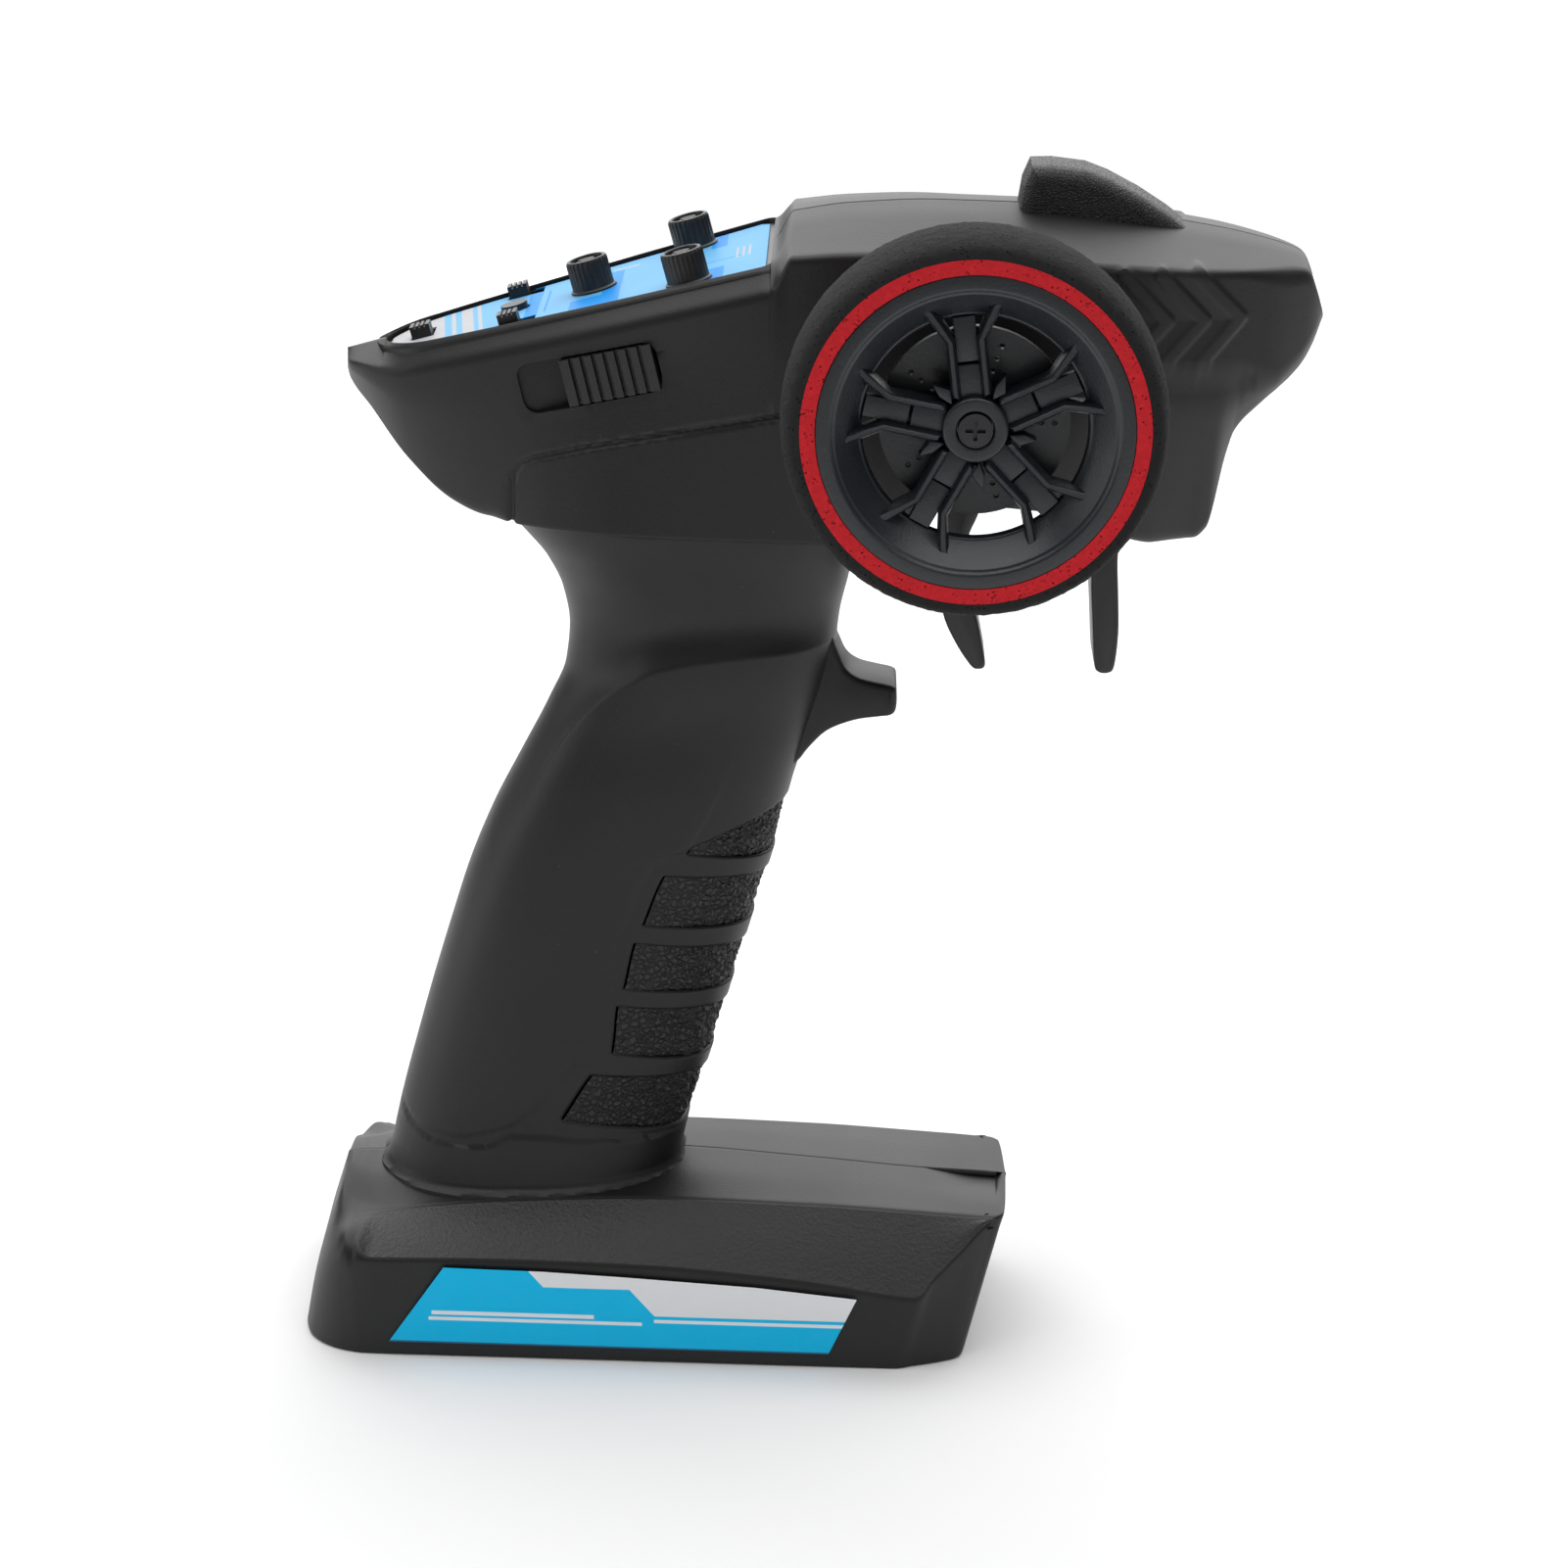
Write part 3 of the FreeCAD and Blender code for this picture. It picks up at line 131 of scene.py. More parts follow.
# %% [markdown]
# A grid can have doubled points at its poles and faces that look inwards. Each piece is cleaned once, then
# it rides on the body it moves with, takes its finish, and stands for the plain construction solids it
# covers. A thin moulded wall comes from a Solidify modifier, so that the skin stays easy to shape.

# %% Cleaning, walls and handing over


def edit(obj, change=None, outward_from=None, sharp=35):
    """Merges doubles, turns faces outwards, applies a bmesh change and sets smooth shading."""
    bm = bmesh.new()
    bm.from_mesh(obj.data)
    bmesh.ops.remove_doubles(bm, verts=bm.verts, dist=2e-6)
    bmesh.ops.dissolve_degenerate(bm, edges=bm.edges, dist=1e-7)
    bmesh.ops.recalc_face_normals(bm, faces=bm.faces)
    if outward_from is not None:
        centre = Vector(outward_from) * MM
        side = sum(f.normal.dot(f.calc_center_median() - centre) * f.calc_area() for f in bm.faces)
        if side < 0:
            bmesh.ops.reverse_faces(bm, faces=bm.faces)
    if change:
        change(bm)
    bm.to_mesh(obj.data)
    bm.free()
    for polygon in obj.data.polygons:
        polygon.use_smooth = True
    obj.data.set_sharp_from_angle(angle=math.radians(sharp))
    return obj


def hand_over(obj, body, slot, material, *nodes):
    """Rides the piece on its body, gives its material and hides the nodes it stands for."""
    obj.data.materials.clear()
    obj.data.materials.append(material)
    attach(obj, body)
    if nodes:
        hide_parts(*nodes)
    return obj


def wall(obj, thickness):
    """Gives an open skin its moulded wall, inwards."""
    solid = obj.modifiers.new("wall", "SOLIDIFY")
    solid.thickness = thickness * MM
    solid.offset = -1
    solid.use_even_offset = False
    solid.use_rim = True


# %% [markdown]
# The head and the base are lofts: many cross-sections, each a polyline with rounded corners. A section
# could be drawn as a curve object, but then each would be made by itself. Here all the sections of a piece
# are computed together, so the number of points round a corner is the same everywhere and the grid closes.

# %% Rounded sections, normals and distances


def section_rows(corners, radii, spans, arc_rows):
    """Rounded polyline sections for many stations at once.

    corners is (stations, corners, 2). Each corner becomes a quadratic curve that leaves its two sides at
    the given radius, at most 0.45 of a side, and each side is divided into its number of spans.
    """
    corners = np.asarray(corners, float)
    stations, count, _ = corners.shape
    sides = corners[:, 1:] - corners[:, :-1]
    length = np.maximum(np.linalg.norm(sides, axis=2), 1e-9)
    unit = sides / length[:, :, None]
    cut = np.zeros((stations, count))
    cut[:, 1:-1] = np.minimum(np.minimum(radii[:, 1:-1], 0.45 * length[:, :-1]), 0.45 * length[:, 1:])
    out = []
    for k in range(count - 1):
        start = corners[:, k] + unit[:, k] * cut[:, k, None]
        end = corners[:, k + 1] - unit[:, k] * cut[:, k + 1, None]
        t = np.linspace(0, 1, spans[k] + 1)[:, None, None]
        out.append(start[None] * (1 - t) + end[None] * t)
        if k + 1 < count - 1:
            after = corners[:, k + 1] + unit[:, k + 1] * cut[:, k + 1, None]
            t = np.linspace(0, 1, arc_rows + 2)[1:-1, None, None]
            out.append(end[None] * (1 - t) ** 2 + 2 * corners[:, k + 1][None] * t * (1 - t)
                       + after[None] * t ** 2)
    return np.concatenate(out).transpose(1, 0, 2)


def grid_normals(points):
    """Unit normals of a grid of points from the differences along its two directions."""
    along = np.gradient(points, axis=0)
    across = np.gradient(points, axis=1)
    normal = np.cross(along, across)
    return normal / np.maximum(np.linalg.norm(normal, axis=2, keepdims=True), 1e-9)


def path_distance(x, z, path):
    """Distance in the side view from each point to a polyline path."""
    best = np.full(np.shape(x), 1e9)
    for (x0, z0), (x1, z1) in zip(path[:-1], path[1:]):
        dx, dz = x1 - x0, z1 - z0
        t = np.clip(((x - x0) * dx + (z - z0) * dz) / (dx * dx + dz * dz), 0, 1)
        best = np.minimum(best, np.hypot(x - x0 - t * dx, z - z0 - t * dz))
    return best


print("distance from a path:", float(path_distance(0.0, 1.0, [(-1, 0), (1, 0)])))

# %% [markdown]
# Materials are built from nodes in code. Three short helpers make a node, join a Math node to its
# operands, and open a node group with named sockets.

# %% Node helpers


def new_group(name, inputs, outputs):
    """A node group with its sockets, and its input and output nodes."""
    group = bpy.data.node_groups.new(name, "ShaderNodeTree")
    for label, kind, value in inputs:
        socket = group.interface.new_socket(label, in_out="INPUT", socket_type=kind)
        if value is not None:
            socket.default_value = value
    for label, kind in outputs:
        group.interface.new_socket(label, in_out="OUTPUT", socket_type=kind)
    ins = group.nodes.new("NodeGroupInput")
    outs = group.nodes.new("NodeGroupOutput")
    return group, ins, outs


def node(tree, kind, **values):
    """A node with its settings; a name that starts with in_ sets an input."""
    made = tree.nodes.new(kind)
    for key, value in values.items():
        if key.startswith("in_"):
            made.inputs[key[3:].replace("_", " ")].default_value = value
        else:
            setattr(made, key, value)
    return made


def math_node(tree, operation, first, second=None, third=None, clamp=False):
    """Result of a Math node; each operand is a number or another node's output."""
    made = node(tree, "ShaderNodeMath", operation=operation, use_clamp=clamp)
    for k, value in enumerate((first, second, third)):
        if value is None:
            continue
        if isinstance(value, (int, float)):
            made.inputs[k].default_value = value
        else:
            tree.links.new(value, made.inputs[k])
    return made.outputs[0]


print("node groups so far:", len(bpy.data.node_groups))

# %% [markdown]
# Moulded plastic on the real controller is spark-eroded: a fine even grain that breaks up highlights.
# Several materials use it, so it is a node group. A group puts out only heights, masks and roughness
# changes that vary over the surface; the shader itself stays in each material.

# %% Grain of an eroded mould


def make_moulded_grain():
    """Height and roughness change of an eroded mould surface: two sizes of fine noise."""
    group, ins, outs = new_group(
        "moulded grain", [("Scale", "NodeSocketFloat", 2600.0)],
        [("Height", "NodeSocketFloat"), ("Roughness", "NodeSocketFloat")])
    place = node(group, "ShaderNodeTexCoord").outputs["Object"]
    fine = node(group, "ShaderNodeTexNoise", in_Detail=3.0, in_Roughness=0.6)
    group.links.new(place, fine.inputs["Vector"])
    group.links.new(ins.outputs["Scale"], fine.inputs["Scale"])
    broad = node(group, "ShaderNodeTexNoise", in_Scale=34.0, in_Detail=4.0)
    group.links.new(place, broad.inputs["Vector"])
    group.links.new(fine.outputs["Fac"], outs.inputs["Height"])
    change = math_node(group, "MULTIPLY_ADD", broad.outputs["Fac"], 0.14, -0.07)
    group.links.new(change, outs.inputs["Roughness"])
    return group


moulded_grain = make_moulded_grain()
print("group:", moulded_grain.name)

# %% [markdown]
# The fin and the grip's pads have a leather grain: rounded pebbles with creases between them. The distance
# to the edge of a Voronoi cell gives exactly that, and a little noise bends the cells so that they don't
# look ruled.

# %% Leather grain


def make_leather_grain():
    """Pebbles from a smooth cell pattern, with creases between them and a finer grain on top."""
    group, ins, outs = new_group(
        "leather grain", [("Scale", "NodeSocketFloat", 900.0)],
        [("Height", "NodeSocketFloat"), ("Crease", "NodeSocketFloat")])
    place = node(group, "ShaderNodeTexCoord").outputs["Object"]
    warp = node(group, "ShaderNodeTexNoise", in_Scale=420.0, in_Detail=2.0)
    group.links.new(place, warp.inputs["Vector"])
    mix = node(group, "ShaderNodeVectorMath", operation="MULTIPLY_ADD")
    group.links.new(warp.outputs["Color"], mix.inputs[0])
    mix.inputs[1].default_value = (0.0011, 0.0011, 0.0011)
    group.links.new(place, mix.inputs[2])
    cells = node(group, "ShaderNodeTexVoronoi", feature="DISTANCE_TO_EDGE")
    group.links.new(mix.outputs[0], cells.inputs["Vector"])
    group.links.new(ins.outputs["Scale"], cells.inputs["Scale"])
    ramp = node(group, "ShaderNodeMapRange", interpolation_type="SMOOTHSTEP")
    ramp.inputs["From Max"].default_value = 0.22
    group.links.new(cells.outputs["Distance"], ramp.inputs["Value"])
    group.links.new(ramp.outputs["Result"], outs.inputs["Height"])
    group.links.new(math_node(group, "SUBTRACT", 1.0, ramp.outputs["Result"]), outs.inputs["Crease"])
    return group


leather_grain = make_leather_grain()
print("group:", leather_grain.name)

# %% [markdown]
# A black object that has been held shows a few dust specks and faint rubbed patches. Both are masks, so a
# material decides how much each one lightens its colour.

# %% Dust and rubbed patches


def make_handling_marks():
    """Dust specks and faint rubbed patches that lighten or dull a black surface a little."""
    group, ins, outs = new_group(
        "handling marks", [("Amount", "NodeSocketFloat", 1.0)],
        [("Dust", "NodeSocketFloat"), ("Rub", "NodeSocketFloat")])
    place = node(group, "ShaderNodeTexCoord").outputs["Object"]
    specks = node(group, "ShaderNodeTexVoronoi", in_Scale=160.0)
    group.links.new(place, specks.inputs["Vector"])
    near = node(group, "ShaderNodeMapRange")
    near.inputs["From Min"].default_value = 0.045
    near.inputs["From Max"].default_value = 0.02
    group.links.new(specks.outputs["Distance"], near.inputs["Value"])
    group.links.new(math_node(group, "MULTIPLY", near.outputs["Result"], ins.outputs["Amount"]),
                    outs.inputs["Dust"])
    rub = node(group, "ShaderNodeTexNoise", in_Scale=22.0, in_Detail=5.0, in_Roughness=0.65)
    group.links.new(place, rub.inputs["Vector"])
    clean = node(group, "ShaderNodeMapRange")
    clean.inputs["From Min"].default_value = 0.45
    clean.inputs["From Max"].default_value = 0.75
    group.links.new(rub.outputs["Fac"], clean.inputs["Value"])
    group.links.new(math_node(group, "MULTIPLY", clean.outputs["Result"], ins.outputs["Amount"]),
                    outs.inputs["Rub"])
    return group


handling_marks = make_handling_marks()
print("node groups:", [g.name for g in bpy.data.node_groups])

# %% [markdown]
# Each finish is one function: it makes the material, its Principled shader and the nodes that feed it.
# Numbers that are the same all over the surface are set on the shader itself, and only what changes over
# the surface comes through nodes. These helpers keep those functions short.

# %% Material helpers


def start_material(name, **settings):
    """A material, its node tree and its Principled shader with plain numbers set on it."""
    material = bpy.data.materials.new(name)
    material.use_nodes = True
    tree = material.node_tree
    shader = tree.nodes["Principled BSDF"]
    for key, value in settings.items():
        shader.inputs[key.replace("_", " ")].default_value = value
    return material, tree, shader


def group_node(tree, group, **values):
    """A node group placed in a material with its own values."""
    made = tree.nodes.new("ShaderNodeGroup")
    made.node_tree = group
    for key, value in values.items():
        made.inputs[key].default_value = value
    return made


def bump(tree, shader, height, distance, strength=1.0, under=None):
    """Feeds a height into the shader's normal, over another normal if one is given."""
    made = node(tree, "ShaderNodeBump", in_Strength=strength, in_Distance=distance)
    tree.links.new(height, made.inputs["Height"])
    if under is not None:
        tree.links.new(under, made.inputs["Normal"])
    tree.links.new(made.outputs["Normal"], shader.inputs["Normal"])
    return made.outputs["Normal"]


def mix_colour(tree, factor, first, second):
    """Blend of two colours; each of the three inputs is a value or another node's output."""
    made = node(tree, "ShaderNodeMix", data_type="RGBA")
    for key, value in ((0, factor), (6, first), (7, second)):
        if hasattr(value, "links"):
            tree.links.new(value, made.inputs[key])
        else:
            made.inputs[key].default_value = value
    return made.outputs[2]


def shade(level, tint=(1.0, 1.0, 1.03)):
    """A near-black colour of the given level, a touch blue as carbon-filled plastic is."""
    return (level * tint[0], level * tint[1], level * tint[2], 1.0)


print("a near-black colour:", shade(0.0085))

# %% [markdown]
# The housing, the base, the wheel and the controls are all black plastic, yet they don't look the same:
# the base's shoulder is coarser and greyer, the wheel is smoother and bluer, the pads are leathered. Two
# functions with a few settings give all of them.

# %% Moulded and leathered plastic


def moulded_plastic(name, colour, roughness, grain=2600.0, depth=0.00004, marks=1.0, specular=0.5,
                    coarse=0.0):
    """Injection-moulded plastic: flat colour broken by dust and rubbed patches, roughness by a broad noise,
    normals by grain.

    coarse is the depth of a second, larger grain that only shows where the mesh's mask of that name is 1.
    """
    material, tree, shader = start_material(name, Specular_IOR_Level=specular)
    marks_node = group_node(tree, handling_marks, Amount=marks)
    light = tuple(min(1.0, c * 1.35 + 0.004) for c in colour[:3]) + (1.0,)
    dusty = tuple(min(1.0, c + 0.05) for c in colour[:3]) + (1.0,)
    rubbed = mix_colour(tree, math_node(tree, "MULTIPLY", marks_node.outputs["Rub"], 0.35), colour, light)
    if coarse:
        mask = node(tree, "ShaderNodeAttribute", attribute_name="coarse")
        rubbed = mix_colour(tree, mask.outputs["Fac"], rubbed,
                            tuple(c + 0.018 for c in colour[:3]) + (1.0,))
    tree.links.new(mix_colour(tree, math_node(tree, "MULTIPLY", marks_node.outputs["Dust"], 0.30),
                              rubbed, dusty), shader.inputs["Base Color"])
    grain_node = group_node(tree, moulded_grain, Scale=grain)
    rough = math_node(tree, "ADD", grain_node.outputs["Roughness"], roughness)
    tree.links.new(rough, shader.inputs["Roughness"])
    fine = bump(tree, shader, grain_node.outputs["Height"], depth)
    if coarse:
        spark = group_node(tree, moulded_grain, Scale=1500.0)
        height = math_node(tree, "MULTIPLY", spark.outputs["Height"], mask.outputs["Fac"])
        bump(tree, shader, height, coarse, under=fine)
    return material


def leathered_plastic(name, colour, roughness, scale, depth):
    """Plastic with a pebbled leather grain: creases carry painted shade and are rougher than the pebbles."""
    material, tree, shader = start_material(name, Specular_IOR_Level=0.5)
    grain = group_node(tree, leather_grain, Scale=scale)
    painted_crease_shade = tuple(c * 0.55 for c in colour[:3]) + (1.0,)
    # the creases are painted darker: painted shade between the pebbles
    tree.links.new(mix_colour(tree, grain.outputs["Crease"], colour, painted_crease_shade), shader.inputs["Base Color"])
    rough = math_node(tree, "MULTIPLY_ADD", grain.outputs["Crease"], 0.2, roughness)
    tree.links.new(rough, shader.inputs["Roughness"])
    fine = group_node(tree, moulded_grain, Scale=3000.0)
    under = bump(tree, shader, fine.outputs["Height"], 0.00003)
    bump(tree, shader, grain.outputs["Height"], depth, under=under)
    return material


case_black = moulded_plastic("case black", shade(0.0085), 0.47, specular=0.40)
base_black = moulded_plastic("base black", shade(0.0085), 0.45, specular=0.42, coarse=0.00022)
pad_black = leathered_plastic("pad black", shade(0.0085), 0.44, 1000.0, 0.00018)
shoulder_black = leathered_plastic("shoulder black", shade(0.010), 0.42, 2100.0, 0.00009)
control_black = moulded_plastic("control black", shade(0.010), 0.40, grain=3200.0)
rim_black = moulded_plastic("rim black", (0.0105, 0.0128, 0.017, 1), 0.34, specular=0.62)
print("plastics:", len(bpy.data.materials))

# %% [markdown]
# The head is a boat-shaped clamshell. Its surface is a set of cross-sections along X. Each section is a
# polyline of a few corners, rounded by its own radii, and the corners follow smooth lines along the
# head. Heights are over the head's underside, whose level comes from the frame.

# %% Head outlines
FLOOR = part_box("main_board")[0].z / MM - 8.0
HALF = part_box("head_left")[1].y / MM
REAR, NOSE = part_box("head_left")[0].x / MM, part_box("head_left")[1].x / MM
TILT = math.radians(16.07)
SLOPE = math.tan(TILT)
PANEL_RISE = 39.3
PANEL_REAR, PANEL_FRONT = -47.9, 14.0
STEP_TOP = 17.4
WELL_DROP = 1.75
SLOT_REAR, SLOT_FRONT, SLOT_HALF = 33.8, 76.2, 7.5

WIDTH = [(REAR, 0.0), (-53.8, 0.115), (-52.6, 0.20), (-50.0, 0.305), (-44.0, 0.445), (-36.0, 0.55),
         (-26.0, 0.645), (-10.0, 0.77), (14.6, 0.91), (26.0, 0.955), (40.0, 0.985), (56.0, 1.0),
         (72.0, 0.955), (78.0, 0.91), (84.0, 0.83), (92.0, 0.64), (98.0, 0.41), (100.6, 0.27),
         (101.9, 0.14), (NOSE, 0.0)]
ROOF = [(STEP_TOP, 49.1), (26.0, 50.6), (40.0, 51.5), (56.0, 51.4), (72.0, 50.1), (84.0, 48.5),
        (92.0, 46.9), (97.4, 45.3), (98.8, 44.4), (100.4, 40.6), (NOSE, 34.4)]
SHOULDER = [(STEP_TOP, 2.8), (26.0, 3.4), (56.0, 4.2), (78.0, 3.4), (92.0, 2.2), (98.0, 1.4), (NOSE, 0.0)]
KEEL = [(REAR, 21.4), (-53.8, 20.0), (-50.0, 15.6), (-44.0, 8.6), (-36.0, 2.2), (-31.0, 0.4),
        (-26.0, 0.0), (33.0, 0.0), (37.0, 5.0), (44.0, 7.2), (56.0, 7.4), (66.0, 4.6), (73.0, 0.6),
        (76.0, 0.0), (82.6, 0.0), (84.6, 1.6), (87.0, 13.5), (88.2, 17.6), (92.0, 22.0), (98.0, 27.4),
        (100.6, 30.6), (NOSE, 34.3)]
KEEL_WIDTH = [(REAR, 0.0), (-44.0, 0.26), (-36.0, 0.40), (-27.0, 0.54), (-20.0, 0.67), (-10.0, 0.785),
              (2.0, 0.82), (26.0, 0.84), (56.0, 0.84), (72.0, 0.68), (84.0, 0.46), (88.2, 0.44),
              (92.0, 0.42), (98.0, 0.30), (NOSE, 0.0)]


print("head underside at", round(FLOOR, 2), "half width", round(HALF, 2), "length", round(NOSE - REAR, 1))

# %% [markdown]
# One half section runs from the middle of the roof to the middle of the keel through eight corners. Behind
# the step the roof is the rim round the sloping panel, and the panel's well drops inside it; in front of it
# the roof is full. Steps blend the two, so one grid covers the whole half.

# %% Panel and head sections


def panel_height(x):
    """Height of the panel's surface: a plane that climbs towards the front."""
    return PANEL_RISE + x * SLOPE


def panel_half(x):
    """Half width of the panel: a band inside the shoulder, rounded at the rear, clipped at the front."""
    width = HALF * smooth_line(WIDTH, x) * 0.88 - 1.8
    rear_end = np.sqrt(np.clip(1 - (np.clip(-40.0 - x, 0, None) / (-40.0 - PANEL_REAR)) ** 2, 0, 1))
    front_end = 1 - 0.07 * np.clip((x - 12.4) / 1.6, 0, 1) ** 2
    return np.clip(width, 0, None) * rear_end * front_end


def head_sections(x):
    """Corners and radii of the half sections at stations x, from the centre of the roof to the keel."""
    half = np.maximum(HALF * smooth_line(WIDTH, x), 0.0)
    keel = smooth_line(KEEL, x)
    roof = smooth_line(ROOF, x)
    rim = panel_height(x) + 1.05
    ramp = step(x, 14.3, STEP_TOP)
    front = x > PANEL_FRONT
    well = (x > PANEL_REAR) & ~front
    top = np.where(front, rim * (1 - ramp) + roof * ramp, rim)
    drop = np.where(front, 3.6 * (1 - ramp) + smooth_line(SHOULDER, x) * ramp, 3.8 - 2.2 * step(-x, 44, 54))
    shoulder = np.maximum(top - drop, keel + (top - keel) * 0.5)
    edge = np.where(front, half * (0.80 - 0.24 * ramp), panel_half(x) + 0.2)
    edge = np.where(x < PANEL_REAR, 0.06 * half, edge)
    foot = np.where(front, half * (0.5 - 0.2 * ramp), edge - 0.05)
    foot_height = np.where(well, panel_height(x) - WELL_DROP, top)
    foot_height = np.where(front, top - 0.16 * drop * ramp, foot_height)
    crown = np.where(front, top - 0.46 * drop * ramp, top)
    waist = np.minimum(np.maximum(26.4, keel + 2.2), keel + (shoulder - keel) * 0.72)
    keel_half = np.maximum(HALF * smooth_line(KEEL_WIDTH, x), 0)
    belly = half * (0.955 - 0.02 * step(x, 78, 88))
    slot = np.minimum(SLOT_HALF, keel_half * 0.8)
    zero = np.zeros_like(x)
    centre = np.where(front, top, foot_height)
    corners = [(zero, centre), (foot, foot_height), (edge, crown), (half, shoulder), (belly, waist),
               (keel_half, keel), (slot, keel), (zero, keel)]
    corners = np.stack([np.stack(c, -1) for c in corners], 1)
    soft = 1.0 + 1.2 * step(x, 86, 98)
    radii = np.stack([zero, np.where(front, 3.0, 0.1), np.where(front, 6.0, 0.5), 1.3 * soft, 5.0 + zero,
                      3.5 - 2.9 * step(x, -32, -25) + 1.6 * step(x, 28, 34), 0.3 + zero, zero], 1)
    return corners, radii


print("panel half width in the middle:", round(float(panel_half(np.array([-10.0]))[0]), 2))

# %% [markdown]
# Fine features are pushed out of or into the smooth surface along its normal: the waist groove, three
# chevrons in front of the wheel, the thin seam on top. They could be cut with booleans, but a height over
# the surface keeps the grid whole and gives the soft edges that a mould leaves.

# %% Head relief
CHEVRON_APEX = [75.6, 81.4, 87.2]
CHEVRON_HEIGHT = 38.0
WAIST_PATH = [(-26.4, -2.0), (-26.6, 6.2), (-26.2, 8.6), (-24.9, 10.4), (-22.6, 11.6), (-14.6, 14.0),
              (1.0, 17.6), (16.9, 21.0), (40.0, 25.2), (60.0, 27.0), (76.0, 27.4), (90.0, 27.4)]


def chevron_relief(x, z):
    """Raised arrows: each is a band around a path that runs forward to its apex and back again."""
    height = np.zeros_like(x)
    for apex in CHEVRON_APEX:
        path = [(apex - 7.2, CHEVRON_HEIGHT + 7.4), (apex, CHEVRON_HEIGHT),
                (apex - 6.6, CHEVRON_HEIGHT - 7.6)]
        away = path_distance(x, z, path)
        ahead = apex - np.abs(z - CHEVRON_HEIGHT) * 0.93
        lip = step(away, 1.35, 0.75)
        arm = step(np.abs(z - CHEVRON_HEIGHT), 8.2, 7.6)
        ramp = step(x - ahead, -5.6, 0.0) * step(ahead - x, -0.1, 0.25) * arm
        height = np.maximum(height, 0.42 * lip + 0.30 * ramp * (1 - lip))
    return height


def head_relief(x, y, z):
    """Height change in millimetres at the surface point with side-view place x, z."""
    side = step(y, 3.0, 9.0)
    groove = -0.50 * step(path_distance(x, z, WAIST_PATH), 0.75, 0.15) * side
    ledge = -0.25 * step(path_distance(x, z, [(78.0, 25.6), (88.0, 25.6)]), 0.9, 0.3) * side
    seam = -0.22 * step(y, 0.30, 0.0) * (x > 15)
    return groove + ledge + chevron_relief(x, z) * side + seam


print("chevrons:", len(CHEVRON_APEX))

# %% [markdown]
# The grid is dense only where something small happens: at the tip, round the panel's end, over the groove
# on the right side and over the chevrons. Elsewhere a coarse pitch is enough.

# %% Head grid


def stations(*stretches):
    """Station values from (start, end, pitch) stretches that follow each other."""
    parts = [np.linspace(a, b, max(2, int(math.ceil((b - a) / pitch)) + 1))[:-1]
             for a, b, pitch in stretches]
    return np.concatenate(parts + [np.array([stretches[-1][1]])])


JACK = (-41.85, -39.0)
JACK_HALF = 4.2


def head_half_points(side):
    """Grid of points of one half of the head; side is -1 for the right and +1 for the left."""
    side_pitch = 0.42 if side < 0 else 0.8
    x = stations((REAR, -52.0, 0.35), (-52.0, PANEL_REAR, 0.6), (PANEL_REAR, PANEL_REAR + 0.08, 0.08),
                 (PANEL_REAR + 0.08, JACK[0], 0.35), (JACK[0], JACK[1], 0.5), (JACK[1], -27.5, 0.8),
                 (-27.5, 1.5, side_pitch), (1.5, 12.0, 1.0), (12.0, PANEL_FRONT - 0.05, 0.4),
                 (PANEL_FRONT - 0.05, PANEL_FRONT + 0.05, 0.1), (PANEL_FRONT + 0.05, 18.4, 0.3),
                 (18.4, SLOT_REAR, 1.1), (SLOT_REAR, 66.0, 1.3), (66.0, SLOT_FRONT, 0.34),
                 (SLOT_FRONT, 91.0, 0.34), (91.0, 98.0, 0.6), (98.0, NOSE, 0.3))
    corners, radii = head_sections(x)
    spans = [9, 3, 9, 42, 60, 5, 5]
    rows = section_rows(corners, radii, spans, 4)
    grid = np.concatenate([np.broadcast_to(x[:, None, None], rows.shape[:2] + (1,)), rows], 2)
    normal = grid_normals(grid)
    outwards = np.sign((normal[..., 1] * grid[..., 1] + normal[..., 2] * (grid[..., 2] - 25)).sum())
    lift = head_relief(grid[..., 0], grid[..., 1], grid[..., 2])
    lift[:, 0] = np.where(x > 15, -0.22, 0)
    push = normal * outwards * lift[..., None]
    push[:, 0, 1] = 0
    push[:, -1, 1] = 0
    grid = grid + push
    grid[..., 1] = np.maximum(grid[..., 1], 0) * side
    grid[..., 2] += FLOOR
    return grid


print("points of a right half:", head_half_points(-1).shape[:2])

# %% [markdown]
# The slider's pocket and the screw wells are real holes. The points inside the outline are deleted, the
# points on the new edge move onto the true rounded outline, and the edge is drawn inwards as a wall. A
# boolean would do it too, but it leaves long thin faces that spoil the smooth shading round the hole.

# %% Holes through a skin
SCREW_WELL = (2.75, 2.75, 2.75)


def rounded_outline(u, v, a, b, r):
    """Nearest point of a rounded rectangle's outline, and whether the point is inside it."""
    cu = np.clip(u, -(a - r), a - r)
    cv = np.clip(v, -(b - r), b - r)
    du, dv = u - cu, v - cv
    reach = np.hypot(du, dv)
    if reach < 1e-9:
        return None, True
    return (cu + du / reach * r, cv + dv / reach * r), reach < r


